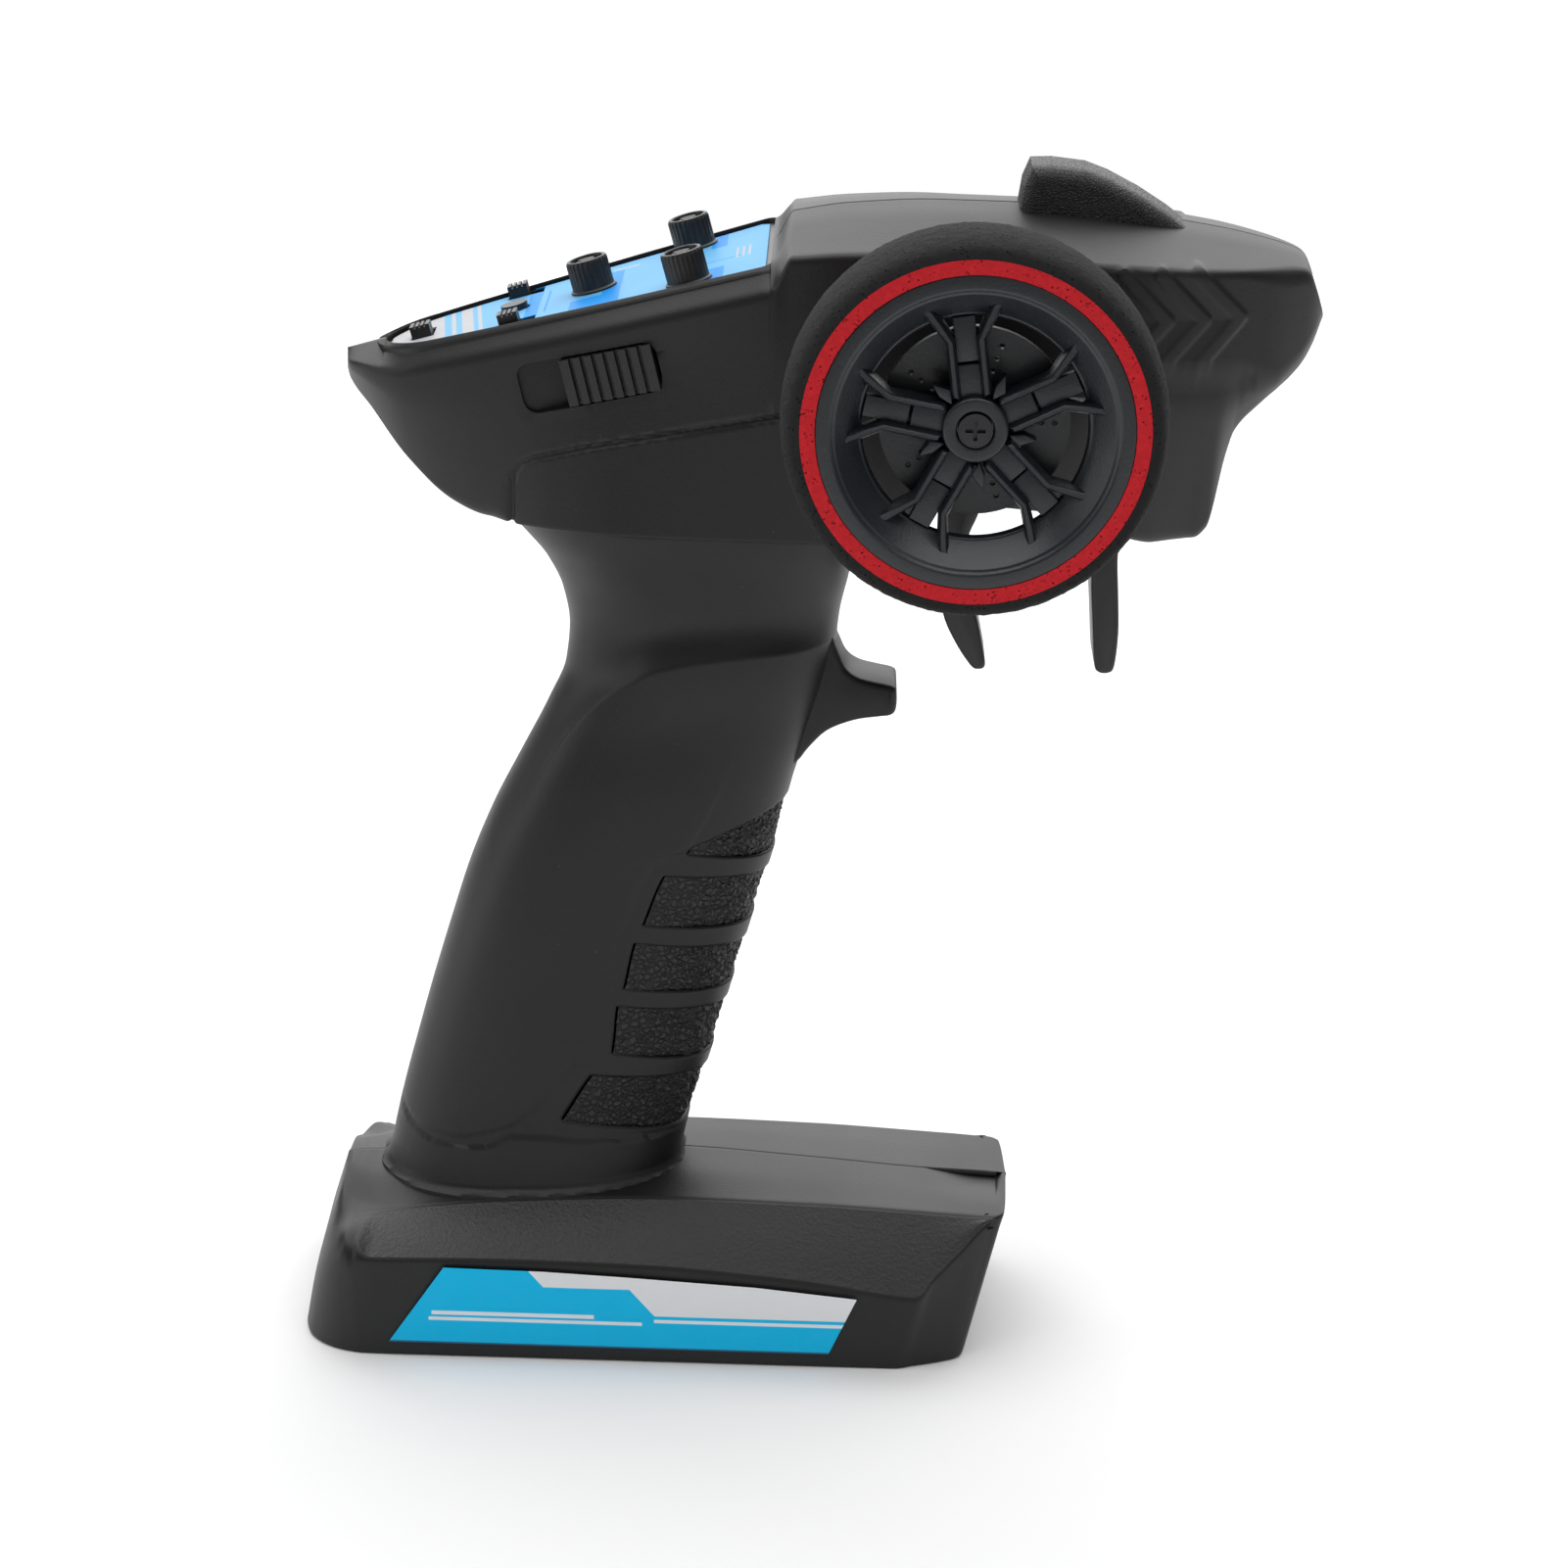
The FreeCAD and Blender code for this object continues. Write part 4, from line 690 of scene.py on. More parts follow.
def open_hole(bm, home, across, upward, size, depth, outside, floor=True):
    """Cuts a rounded hole through a skin and gives it a wall, and a floor if asked.

    home is the hole's centre, across and upward its two directions, size its half width, half height and
    corner radius. depth is a function of the place across and the height over home that gives how deep
    the wall goes.
    """
    home = Vector(home) * MM
    across = Vector(across).normalized()
    upward = Vector(upward).normalized()
    inward = across.cross(upward).normalized()
    if inward.dot(Vector(outside)) > 0:
        inward = -inward
    a, b, r = size

    def local(v):
        """Place of a vertex across, up and into the hole, in millimetres."""
        d = (v.co - home) / MM
        return d.dot(across), d.dot(upward), d.dot(inward)

    reach = max(a, b) * 1.6 + 12
    near = [v for v in bm.verts if (v.co - home).length < reach * MM * 1.5
            and (v.normal.dot(inward) < 0.1)]
    doomed = []
    for v in near:
        u, w, n = local(v)
        if abs(u) < a + 2 and abs(w) < b + 2 and abs(n) < 24 and rounded_outline(u, w, a, b, r)[1]:
            doomed.append(v)
    if not doomed:
        print("no vertices in hole at", home)
        return
    bmesh.ops.delete(bm, geom=doomed, context="VERTS")
    rim = []
    for e in bm.edges:
        if not e.is_boundary:
            continue
        if all((v.co - home).length < reach * MM * 1.5 for v in e.verts):
            places = [local(v) for v in e.verts]
            if all(abs(p[0]) < a + 2.2 and abs(p[1]) < b + 2.2 and abs(p[2]) < 24 for p in places):
                rim.append(e)
    for v in {v for e in rim for v in e.verts}:
        u, w, n = local(v)
        target, _ = rounded_outline(u, w, a, b, r)
        if target is not None:
            v.co += (across * (target[0] - u) + upward * (target[1] - w)) * MM
    made = bmesh.ops.extrude_edge_only(bm, edges=rim)
    low = [g for g in made["geom"] if isinstance(g, bmesh.types.BMVert)]
    for v in low:
        u, _, n = local(v)
        v.co += inward * depth(u, n) * MM
    if floor:
        edges = [g for g in made["geom"] if isinstance(g, bmesh.types.BMEdge)]
        bmesh.ops.holes_fill(bm, edges=edges, sides=0)


def delete_faces(bm, test):
    """Deletes the faces whose centre, in millimetres, passes the test."""
    doomed = [f for f in bm.faces if test(*(f.calc_center_median() / MM), f.normal)]
    bmesh.ops.delete(bm, geom=doomed, context="FACES")


print("screw well radius", SCREW_WELL[0])

# %% [markdown]
# The two head shells meet at the seam on the centre plane. The right one has the slider's pocket, the
# left one the wells of the case screws, and both leave room for the panel, the trigger and the jack.

# %% Head shells
HEAD_WALL = 1.4
SLIDER_TILT = math.radians(14.5)
SLIDER_HOME = (-14.0, -19.5, FLOOR + 25.2)
SLIDER_POCKET = (11.4, 4.1, 2.2)
SCREW_SEAT = 9.0
SCREW_WELLS = [(-27.0, FLOOR + 12.5), (24.0, FLOOR + 23.0), (81.5, FLOOR + 9.0), (82.0, FLOOR + 36.0)]


def head_openings(bm, side):
    """Opens the panel's well, the trigger's slot and this half's own holes."""
    delete_faces(bm, lambda x, y, z, n: PANEL_REAR < x < PANEL_FRONT and n.z > 0.8
                 and abs(z - FLOOR - panel_height(x) + WELL_DROP) < 0.4
                 and abs(y) < panel_half(np.array([x]))[0] - 1.2)
    delete_faces(bm, lambda x, y, z, n: SLOT_REAR < x < SLOT_FRONT and abs(y) < SLOT_HALF and z < FLOOR + 1)
    along = (math.cos(SLIDER_TILT), 0, math.sin(SLIDER_TILT))
    up = (-math.sin(SLIDER_TILT), 0, math.cos(SLIDER_TILT))
    if side < 0:
        open_hole(bm, SLIDER_HOME, along, up, SLIDER_POCKET,
                  lambda u, n: 0.7 + 2.2 * float(step(u, -SLIDER_POCKET[0], -4.0)), (0, -1, 0))
    else:
        for x, z in SCREW_WELLS:
            open_hole(bm, (x, SCREW_SEAT, z), (1, 0, 0), (0, 0, 1), SCREW_WELL, lambda u, n: -n, (0, 1, 0))
    edge = [v for v in bm.verts if JACK[0] - 0.1 < v.co.x / MM < JACK[1] + 0.1 and v.co.z / MM < FLOOR + 12]
    for x in {round(v.co.x / MM, 3) for v in edge}:
        ring = [v for v in edge if abs(v.co.x / MM - x) < 0.001]
        nearest = min(ring, key=lambda v: abs(abs(v.co.y) / MM - JACK_HALF))
        nearest.co.y = side * JACK_HALF * MM
    delete_faces(bm, lambda x, y, z, n: JACK[0] < x < JACK[1] and abs(y) < JACK_HALF - 0.05
                 and z < FLOOR + 12)


def make_head(side):
    """One half of the head with its openings and its wall."""
    name = "head_shell_right" if side < 0 else "head_shell_left"
    grid = head_half_points(side)
    shell = mesh_from(name, grid, grid_quads(*grid.shape[:2]))
    edit(shell, lambda bm: head_openings(bm, side), outward_from=(24, 0, FLOOR + 25))
    wall(shell, HEAD_WALL)
    print(name, len(shell.data.polygons), "faces")
    return shell


for side, half_name in ((-1, "head_right"), (1, "head_left")):
    hand_over(make_head(side), "housing", "shell", case_black, half_name)

# %% [markdown]
# The grip is a rounded section that follows three outlines in height. On top of it lie: the scoop under
# the head with the crease of the palm swell below it, the thin step round the smooth palm, and the
# five textured bands at the front. Rows of the grid follow the bands' edges, so these stay crisp.

# %% Grip outlines
GRIP_REAR = [(18.0, -49.0), (30.2, -46.7), (37.5, -45.2), (46.4, -43.0), (56.8, -40.3), (67.1, -37.4),
             (78.1, -34.1), (88.3, -30.1), (97.6, -25.8), (106.9, -21.5), (113.8, -18.9),
             (119.8, -18.4), (126.4, -19.4), (132.3, -21.9), (137.4, -26.0), (140.4, -29.0)]
GRIP_FRONT = [(18.0, 0.6), (31.8, 2.8), (38.3, 4.7), (45.6, 6.9), (57.6, 10.0), (69.9, 13.3),
              (82.8, 16.8), (95.2, 19.6), (104.0, 22.3), (112.0, 24.5), (118.9, 25.9), (124.1, 26.8),
              (129.0, 27.8), (140.4, 29.6)]
GRIP_SIDE = [(18.0, 15.7), (30.0, 15.9), (51.0, 16.3), (73.0, 16.6), (94.0, 16.5), (107.0, 16.0),
             (119.0, 16.6), (129.0, 18.4), (136.0, 20.2), (140.4, 21.4)]
GRIP_POWER = 0.84
CREASE = [(-32.0, 72.0), (-27.5, 84.0), (-22.4, 95.0), (-19.0, 101.5), (-15.5, 106.5), (-12.0, 110.3),
          (-8.5, 113.0), (-3.6, 116.1), (2.1, 117.8), (7.7, 118.7), (14.7, 119.3), (21.8, 119.5),
          (30.0, 119.7)]
SCOOP = [(-30.0, 0.0), (-24.0, 0.35), (-15.0, 0.85), (-4.0, 1.0), (12.0, 1.0), (22.0, 0.75), (30.0, 0.4)]
PALM_EDGE = [(33.6, -34.5), (36.8, -25.7), (42.5, -19.9), (48.1, -15.6), (54.5, -12.7), (61.5, -10.6),
             (70.0, -8.6), (77.0, -6.5), (83.2, -3.0), (86.8, 3.0), (110.0, 12.0), (141.0, 16.0)]
PALM_FOOT = [(-50.0, 41.0), (-44.7, 36.2), (-41.0, 34.0), (-34.5, 33.6), (40.0, 33.6)]
SKIRT_EDGE = [(-50.0, 40.0), (-46.5, 37.4), (-43.0, 33.6), (-38.3, 31.8), (-30.3, 32.3), (-25.1, 34.6),
              (-13.4, 34.0), (6.0, 33.4)]
BAND_END = [(18.0, -21.0), (34.0, -20.0), (38.0, -17.6), (46.0, -12.8), (50.0, -9.4), (58.5, -8.6),
            (61.6, -7.6), (69.8, -5.9), (72.9, -4.6), (81.6, -1.2), (86.0, 2.8), (92.0, 5.0),
            (110.0, 8.0), (141.0, 10.0)]
BANDS = [((37.8, 34.2), (46.0, 44.3)), ((50.0, 46.9), (58.5, 56.3)), ((61.6, 59.4), (69.8, 67.3)),
         ((72.9, 70.9), (81.6, 79.9)), ((85.4, 82.7), (86.1, 92.6))]
BAND_DEPTH = 0.75
RIDGE = 17.6
RIDGE_LINE = [(-56.0, 20.0), (-43.6, 22.0), (-26.6, 24.0), (0.8, 25.1), (24.9, 24.7), (55.2, 23.3),
              (58.0, 23.2)]


print("leathered bands:", len(BANDS))

# %% [markdown]
# The grip's section is a superellipse, a circle pressed a little towards a rectangle, as a handle for four
# fingers is. Its rows tilt near the front so that they follow the edges of the leathered bands.

# %% Grip surface


def base_top(x, y):
    """Height of the base's top surface: a crowned strip that falls to its ridge at each side."""
    middle = smooth_line([(-56.0, 24.6), (3.0, 27.0), (45.0, 24.2), (58.0, 23.4)], x)
    share = np.clip(np.abs(y) / RIDGE, 0, 1)
    return middle + (smooth_line(RIDGE_LINE, x) - middle) * share ** 2.2


def grip_surface(rows, u):
    """Points of the smooth grip before its relief.

    rows is (n, 2): a row's height at the bands' rear end and at the front edge. u is (m,): 0 at the front
    edge, 1 where the bands end, 2 at the rear edge. The section is x = middle + reach * cos(a) ** p and
    y = side * sin(a) ** p, signs kept.
    """
    level, front_level = rows[:, :1], rows[:, 1:]
    u = u[None, :]
    end_x = smooth_line(BAND_END, level)
    z = level + 0 * u
    for _ in range(5):
        front, rear = smooth_line(GRIP_FRONT, z), smooth_line(GRIP_REAR, z)
        middle, reach = (front + rear) / 2, (front - rear) / 2
        share = np.clip((end_x - middle) / reach, -0.98, 0.98)
        end = np.arccos(np.sign(share) * np.abs(share) ** (1 / GRIP_POWER))
        turn = np.where(u < 1, u * end, end + (math.pi - end) * (u - 1))
        c, s = np.cos(turn), np.sin(np.clip(turn, 0, math.pi))
        x = middle + reach * np.sign(c) * np.abs(c) ** GRIP_POWER
        z = level + (front_level - level) * np.clip((x - end_x) / (front - end_x), 0, 1)
    y = smooth_line(GRIP_SIDE, z) * np.clip(s, 0, 1) ** GRIP_POWER
    return np.stack([x, y, z], -1)


print("base top in the middle:", round(float(base_top(0.0, 0.0)), 2))

# %% [markdown]
# A palm field stands proud of the skin, a scoop under the head makes room for thumb and finger, a skirt
# goes round the foot, and the foot flares where it meets the base. Each is a height over the surface.

# %% Grip relief


def grip_relief(x, y, z):
    """Height in millimetres over the smooth grip, from the place in the side view."""
    above = (z - smooth_line(CREASE, x)) * 0.78
    scoop = (1 - (1 - np.clip(above / 6.5, 0, 1)) ** 2) * (1
                                                           - step(z, 120.5, 139.0)) * smooth_line(SCOOP,
                                                                                                  x)
    swell = np.exp(-((above + 3.0) / 4.5) ** 2) * smooth_line(SCOOP, x) * 0.35
    edge = smooth_line(PALM_EDGE, z) - x
    foot = z - smooth_line(PALM_FOOT, x)
    palm = step(np.minimum(edge, foot), -0.25, 0.25) * step(z, 108, 84) * 0.30
    skirt = step(smooth_line(SKIRT_EDGE, x) - z, -0.2, 0.2) * 0.40
    rise = z - base_top(x, y)
    flare = 3.0 - 1.5 * step(np.abs(y), 3, 10)
    low = np.clip(flare - np.clip(rise, 0, None), 0, flare)
    foot_flare = flare - np.sqrt(np.clip(flare ** 2 - low ** 2, 0, None))
    return -2.7 * scoop + swell + palm + skirt + foot_flare


def relieved(grid, extra=0.0):
    """The grid pushed out along its normals by the grip's relief and by an extra height."""
    normal = grid_normals(grid)
    if (normal[..., 1] * grid[..., 1]).sum() < 0:
        normal = -normal
    lift = grip_relief(grid[..., 0], grid[..., 1],
                       grid[..., 2]) * (0.25 + 0.75 * np.abs(normal[..., 1])) + extra
    moved = grid + normal * lift[..., None]
    moved[:, 0, 1] = 0
    moved[:, -1, 1] = 0
    moved[..., 1] = np.clip(moved[..., 1], 0, None)
    return moved


print("palm relief at a point:", round(float(grip_relief(np.array(-20.0), np.array(16.0),
                                                         np.array(70.0))), 2))

# %% [markdown]
# Five leathered bands sit in the front of the grip. The skin's grid has rows exactly on their edges, so
# leaving out the faces between two rows opens a clean window for each. The pebbles are geometry here,
# because the bands are seen from close by and their outline has to be rough too.

# %% Rows and pebbles of the grip
ROW_STOPS = [((19.0, 19.0), 0), ((22.0, 22.0), 4), ((33.0, 31.0), 26)]
for low, high in BANDS:
    ROW_STOPS += [(low, 8), (high, 12)]
ROW_STOPS += [((94.0, 99.0), 12), ((104.0, 107.0), 16), ((121.0, 121.0), 46), ((140.3, 140.3), 34)]


def fill_rows(stops):
    """Rows between stops: each stop carries the number of spans that lead up to it."""
    rows = [np.array(stops[0][0], float)[None]]
    for (start, _), (end, count) in zip(stops[:-1], stops[1:]):
        t = np.linspace(0, 1, count + 1)[1:, None]
        rows.append(np.array(start) * (1 - t) + np.array(end) * t)
    return np.concatenate(rows)


noise.seed_set(11)        # noise_vector's offsets come from the random state


def leather_height(place):
    """Pebbles from 0 to 1: the distance to the border between the cells of scattered points."""
    warp = noise.noise_vector(Vector(place) * 0.45) * 0.9
    near = noise.voronoi((Vector(place) + warp) * Vector((0.62, 0.62, 0.95)))[0]
    return min((near[1] - near[0]) * 2.2, 1.0)


pebbles = np.vectorize(lambda x, y, z: leather_height((x, y, z)))
print("rows of the grip:", len(fill_rows(ROW_STOPS)))

# %% [markdown]
# The skin and the bands are two pieces, as on a two-shot moulding: hard shell and softer pad. Each half
# is made once and mirrored by the sign of its Y.

# %% Grip shells and bands
GRIP_WALL, BAND_WALL = 1.5, 1.0
GRIP_SCREWS = [(2.0, 111.94), (-14.0, 60.7)]
SCREW_RISE, GRIP_WELL_DEPTH = 16.0, 6.6


def make_grip(side):
    """One half of the grip: the smooth skin, left open where the bands sit, and the bands themselves."""
    rows = fill_rows(ROW_STOPS)
    u = np.concatenate([np.linspace(0, 1, 58), np.linspace(1, 2, 74)[1:]])
    grid = relieved(grip_surface(rows, u))
    quads = grid_quads(len(rows), len(u))
    row = np.arange(len(quads)) // (len(u) - 1)
    column = np.arange(len(quads)) % (len(u) - 1)
    starts = np.cumsum([count for _, count in ROW_STOPS])
    banded = np.zeros(len(rows), bool)
    for k in range(len(BANDS)):
        first = starts[3 + 2 * k]
        banded[first:first + 12] = True
    grid[..., 1] *= side
    tag = "right" if side < 0 else "left"
    skin = mesh_from("grip_shell_" + tag, grid, quads[~(banded[row] & (column < 57))])
    screws = GRIP_SCREWS if side > 0 else []
    edit(skin, lambda bm: [open_hole(bm, (x, SCREW_RISE, z), (1, 0, 0), (0, 0, 1), SCREW_WELL,
                                     lambda u, n: GRIP_WELL_DEPTH, (0, 1, 0)) for x, z in screws],
         outward_from=(-10, 0, 80))
    wall(skin, GRIP_WALL)
    points, faces, count = [], [], 0
    for low, high in BANDS:
        levels = fill_rows([(low, 0), (high, 26)])
        across = np.linspace(0, 1, 96)
        patch = grip_surface(levels, across)
        fade = step(across, 1.0, 0.62)[None, :]
        pebble = pebbles(patch[..., 0], patch[..., 1], patch[..., 2])
        patch = relieved(patch, (-BAND_DEPTH + 0.42 * pebble) * fade)
        patch[..., 1] *= side
        points.append(patch.reshape(-1, 3))
        faces.append(grid_quads(len(levels), len(across)) + count)
        count += points[-1].shape[0]
    bands = mesh_from("grip_bands_" + tag, np.concatenate(points), np.concatenate(faces))
    edit(bands, outward_from=(-10, 0, 80), sharp=60)
    wall(bands, BAND_WALL)
    print(skin.name, len(skin.data.polygons), bands.name, len(bands.data.polygons))
    return skin, bands


for side, tag in ((-1, "right"), (1, "left")):
    skin, bands = make_grip(side)
    hand_over(skin, "housing", "shell", case_black, "grip_" + tag)
    hand_over(bands, "housing", "pad", pad_black, "grip_pad_" + tag)

# %% [markdown]
# The base is a ring of profiles. Each profile starts at the battery bay's edge underneath, runs out to
# the foot of the wall, up the wall, over the grained shoulder and the ridge, and ends on the centre line.
# The ring's places run from the middle of the rear wall, round the corner, along the side and the
# front facet to the middle of the nose.

# %% Base outlines
DOOR_LOW, DOOR_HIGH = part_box("battery_door")
BAY_REAR, BAY_FRONT, BAY_HALF = DOOR_LOW.x / MM - 0.3, DOOR_HIGH.x / MM + 0.3, DOOR_HIGH.y / MM + 0.3
TRAY_SCREWS = [(-30.0, 22.0), (30.0, 22.0)]
BASE_WALL, TRAY_WELL_DEPTH = 1.6, 2.0
RING = {"place": [0.0, 0.10, 0.13, 0.16, 0.19, 0.22, 0.25, 0.40, 0.55, 0.70, 0.80, 0.84, 0.88, 0.93,
                  0.945, 1.0], "foot": [(-60.3, 0, 0), (-60.3, 17.0, 0), (-59.4, 21.6, 0),
                                        (-56.8, 25.5, 0), (-53.0, 28.0, 0), (-49.6, 28.9, 0),
                                        (-46.0, 29.0, 0), (-24.0, 29.0, 0), (0.0, 29.0, 0),
                                        (25.0, 29.0, 0), (38.8, 28.9, 0), (42.0, 27.8, 0),
                                        (45.6, 26.4, 0), (49.6, 24.2, 0), (50.4, 23.0, 0),
                                        (52.6, 0, 0)],
        "wall": [(-58.5, 0, 12.0), (-58.4, 16.2, 12.0), (-57.4, 20.8, 14.4), (-55.4, 24.4, 17.4),
                 (-53.2, 26.4, 19.5), (-51.3, 27.5, 18.6), (-48.6, 28.0, 16.9), (-27.0, 28.1, 17.3),
                 (-4.0, 28.1, 17.0), (22.0, 28.1, 15.1), (42.2, 28.0, 12.4), (45.6, 25.5, 15.2),
                 (49.4, 22.6, 18.3), (54.9, 18.0, 22.3), (56.3, 16.6, 21.2), (57.0, 0, 20.6)],
        "ridge": [(-54.9, 0, 24.4), (-54.9, 11.0, 22.6), (-54.4, 13.6, 21.8), (-53.2, 15.6, 21.0),
                  (-51.6, 16.8, 20.8), (-49.6, 17.4, 21.1), (-47.0, 17.6, 21.5), (-25.0, 17.6, 24.0),
                  (0.0, 17.6, 25.1), (25.0, 17.6, 24.7), (42.0, 17.6, 23.9), (45.6, 17.6, 23.7),
                  (49.6, 17.55, 23.5), (55.3, 17.3, 23.2), (57.0, 15.8, 23.2), (57.8, 0, 23.7)],
        "top": [(-54.0, 0, 24.6), (-53.0, 0, 24.7), (-52.0, 0, 24.7), (-51.0, 0, 24.8),
                (-50.0, 0, 24.8), (-48.5, 0, 24.9), (-46.0, 0, 25.0), (-24.0, 0, 26.2), (0.0, 0, 27.0),
                (25.0, 0, 25.6), (41.0, 0, 24.4), (45.0, 0, 24.2), (48.5, 0, 24.1), (54.0, 0, 23.9),
                (55.5, 0, 23.8), (57.5, 0, 23.8)],}


def ring_line(name, place):
    """A ring line of the base at the given places, each coordinate a monotone cubic through its stops."""
    stops = RING[name]
    return np.stack([smooth_line(list(zip(RING["place"], [s[k] for s in stops])), place)
                     for k in range(3)], -1)


def bay_line(place):
    """The battery bay's edge underneath: half a rectangle that the ring's places run along."""
    x = np.interp(place, [0.10, 0.26, 0.80, 1.0], [BAY_REAR, BAY_REAR, BAY_FRONT, BAY_FRONT])
    y = np.interp(place, [0.0, 0.10, 0.93, 1.0], [0.0, BAY_HALF, BAY_HALF, 0.0])
    return np.stack([x, y, np.zeros_like(x)], -1)


print("battery bay", round(BAY_FRONT - BAY_REAR, 1), "by", round(2 * BAY_HALF, 1))

# %% [markdown]
# The grained shoulder between wall and ridge bulges a little, and a mask marks it so that its material can
# be coarser there. The top sags from the middle to the ridge, and the right half dips at the nose, where
# the two halves overlap.

# %% Base grid


def base_half_points(side):
    """Grid of one half of the base and its mask, 1 on the grained shoulder."""
    place = np.concatenate([np.linspace(0, 0.10, 14), np.linspace(0.10, 0.25, 34)[1:],
                            np.linspace(0.25, 0.78, 70)[1:], np.linspace(0.78, 0.82, 8)[1:],
                            np.linspace(0.82, 0.92, 16)[1:], np.linspace(0.92, 0.95, 10)[1:],
                            np.linspace(0.95, 1.0, 12)[1:]])
    corners = np.stack([bay_line(place)] + [ring_line(name, place)
                                            for name in ("foot", "wall", "ridge", "top")], 1)
    banded = step(place, 0.19, 0.25) * step(place, 0.935, 0.925)
    ones = np.ones_like(place)
    side_on = step(place, 0.19, 0.25)
    radii = np.stack([0 * ones, 1.1 * ones, 7.0 - 6.3 * side_on, 2.4 - 1.6 * side_on, 0 * ones], 1)
    spans, arc = [12, 14, 12, 26], 5
    rows = section_rows(corners, radii, spans, arc)
    share = np.linspace(0, 1, spans[3] + 1)
    top = rows[:, -(spans[3] + 1):]
    sag = smooth_line([(0.0, 0.0), (0.5, 0.75), (1.0, 1.0)], share)
    height = top[:, :1, 2] + (top[:, -1:, 2] - top[:, :1, 2]) * sag[None, :]
    rows[:, -(spans[3] + 1):, 2] = height
    first = spans[0] + 1 + arc + spans[1] + 1 + arc
    bulge = np.sin(np.linspace(0, math.pi, spans[2] + 1))[None, :, None]
    rows[:, first:first + spans[2] + 1] += np.array([0, 0.18, 0.25]) * bulge * banded[:, None, None]
    if side < 0:
        dip = step(rows[..., 0], 43.0, 53.0) * step(rows[..., 0], 57.4,
                                                    55.6) * step(np.abs(rows[..., 1]), 14.0, 0.0)
        dip[:, :-(spans[3] + 1)] = 0
        rows[..., 2] -= 0.9 * dip
    mask = np.zeros(rows.shape[:2])
    mask[:, first - 1:first + spans[2] + 2] = banded[:, None]
    rows[..., 1] *= side
    return rows, mask


print("points of a base half:", base_half_points(-1)[0].shape[:2])

# %% [markdown]
# Two shells that meet on the centre plane, open underneath for the battery door, with wells for the
# screws that hold the battery tray.

# %% Base shells


def make_base(side):
    """One half of the base with its screw wells and its wall."""
    rows, mask = base_half_points(side)
    tag = "right" if side < 0 else "left"
    shell = mesh_from("base_shell_" + tag, rows, grid_quads(*rows.shape[:2]), {"coarse": mask})
    edit(shell, lambda bm: [open_hole(bm, (x, y * side, 0.0), (1, 0, 0), (0, 1, 0), SCREW_WELL,
                                      lambda u, n: TRAY_WELL_DEPTH, (0, 0, -1), floor=False) for x,
                            y in TRAY_SCREWS], outward_from=(0, 0, 12))
    wall(shell, BASE_WALL)
    print(shell.name, len(shell.data.polygons), "faces")
    return shell


for side, tag in ((-1, "right"), (1, "left")):
    hand_over(make_base(side), "housing", "base_shell", base_black, "base_" + tag)

# %% [markdown]
# The wheel turns about Y. Its moulded parts are profiles turned about the shaft, with the spoke rails
# and webs as bevelled slabs set around it. Slabs are outlines in the wheel's plane with a chamfered
# front edge; places in that plane are (forward, up) from the hub.

# %% Turned pieces
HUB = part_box("hub_screw")
WHEEL = np.array([(HUB[0].x + HUB[1].x) / 2 / MM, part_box("red_foam_ring")[0].y / MM,
                  (HUB[0].z + HUB[1].z) / 2 / MM])


def rounded_profile(points, radius, arc=3):
    """The polyline with each inner corner replaced by a short curve."""
    corners = np.array(points, float)[None]
    radii = np.full((1, len(points)), radius)
    return section_rows(corners, radii, [1] * (len(points) - 1), arc)[0]


def turned(name, profile, count=160, ripple=None):
    """Profile of (radius, depth) turned about the wheel's shaft.

    ripple(radius, depth, turn) is added to the radius.
    """
    turn = np.linspace(0, 2 * math.pi, count, endpoint=False)[:, None]
    radius = profile[None, :, 0] + 0 * turn
    depth = profile[None, :, 1] + 0 * turn
    if ripple:
        radius = radius + ripple(radius, depth, turn)
    points = np.stack([WHEEL[0] + radius * np.cos(turn), WHEEL[1] + depth,
                       WHEEL[2] + radius * np.sin(turn)], -1)
    return mesh_from(name, points, grid_quads(count, len(profile), wrap_rows=True))


print("wheel axis at", WHEEL.round(2).tolist())

# %% [markdown]
# Rails, webs, prongs and the fin are slabs: a closed outline carried along its thickness. Where an edge is
# chamfered or rounded, the outline is drawn inwards by a few tenths at each level.

# %% Slabs


def inset_outline(outline, inset):
    """The closed outline moved inwards by inset at every side, with long mitres cut short."""
    p = np.asarray(outline, float)
    ahead = np.roll(p, -1, 0) - p
    behind = p - np.roll(p, 1, 0)
    ahead /= np.linalg.norm(ahead, axis=1, keepdims=True)
    behind /= np.linalg.norm(behind, axis=1, keepdims=True)
    area = 0.5 * np.sum(p[:, 0] * np.roll(p[:, 1], -1) - np.roll(p[:, 0], -1) * p[:, 1])
    n1 = np.stack([-behind[:, 1], behind[:, 0]], 1) * np.sign(area)
    n2 = np.stack([-ahead[:, 1], ahead[:, 0]], 1) * np.sign(area)
    mid = n1 + n2
    mid /= np.maximum(np.linalg.norm(mid, axis=1, keepdims=True), 1e-6)
    reach = 1 / np.clip(np.sum(mid * n1, 1), 0.42, 1)
    return p + mid * (reach * inset)[:, None]


def slab_parts(outline, levels, place):
    """Vertices and faces of a closed slab: the outline at each (depth, inset) level, capped at both ends."""
    count = len(outline)
    rings = [np.stack(np.broadcast_arrays(*place(*inset_outline(outline, inset).T, depth)), -1)
             for depth, inset in levels]
    quads = grid_quads(len(levels), count, wrap_cols=True)
    near_cap = list(range(count))[::-1]
    far_cap = list(range((len(levels) - 1) * count, len(levels) * count))
    return np.concatenate(rings), [list(q) for q in quads] + [near_cap, far_cap]


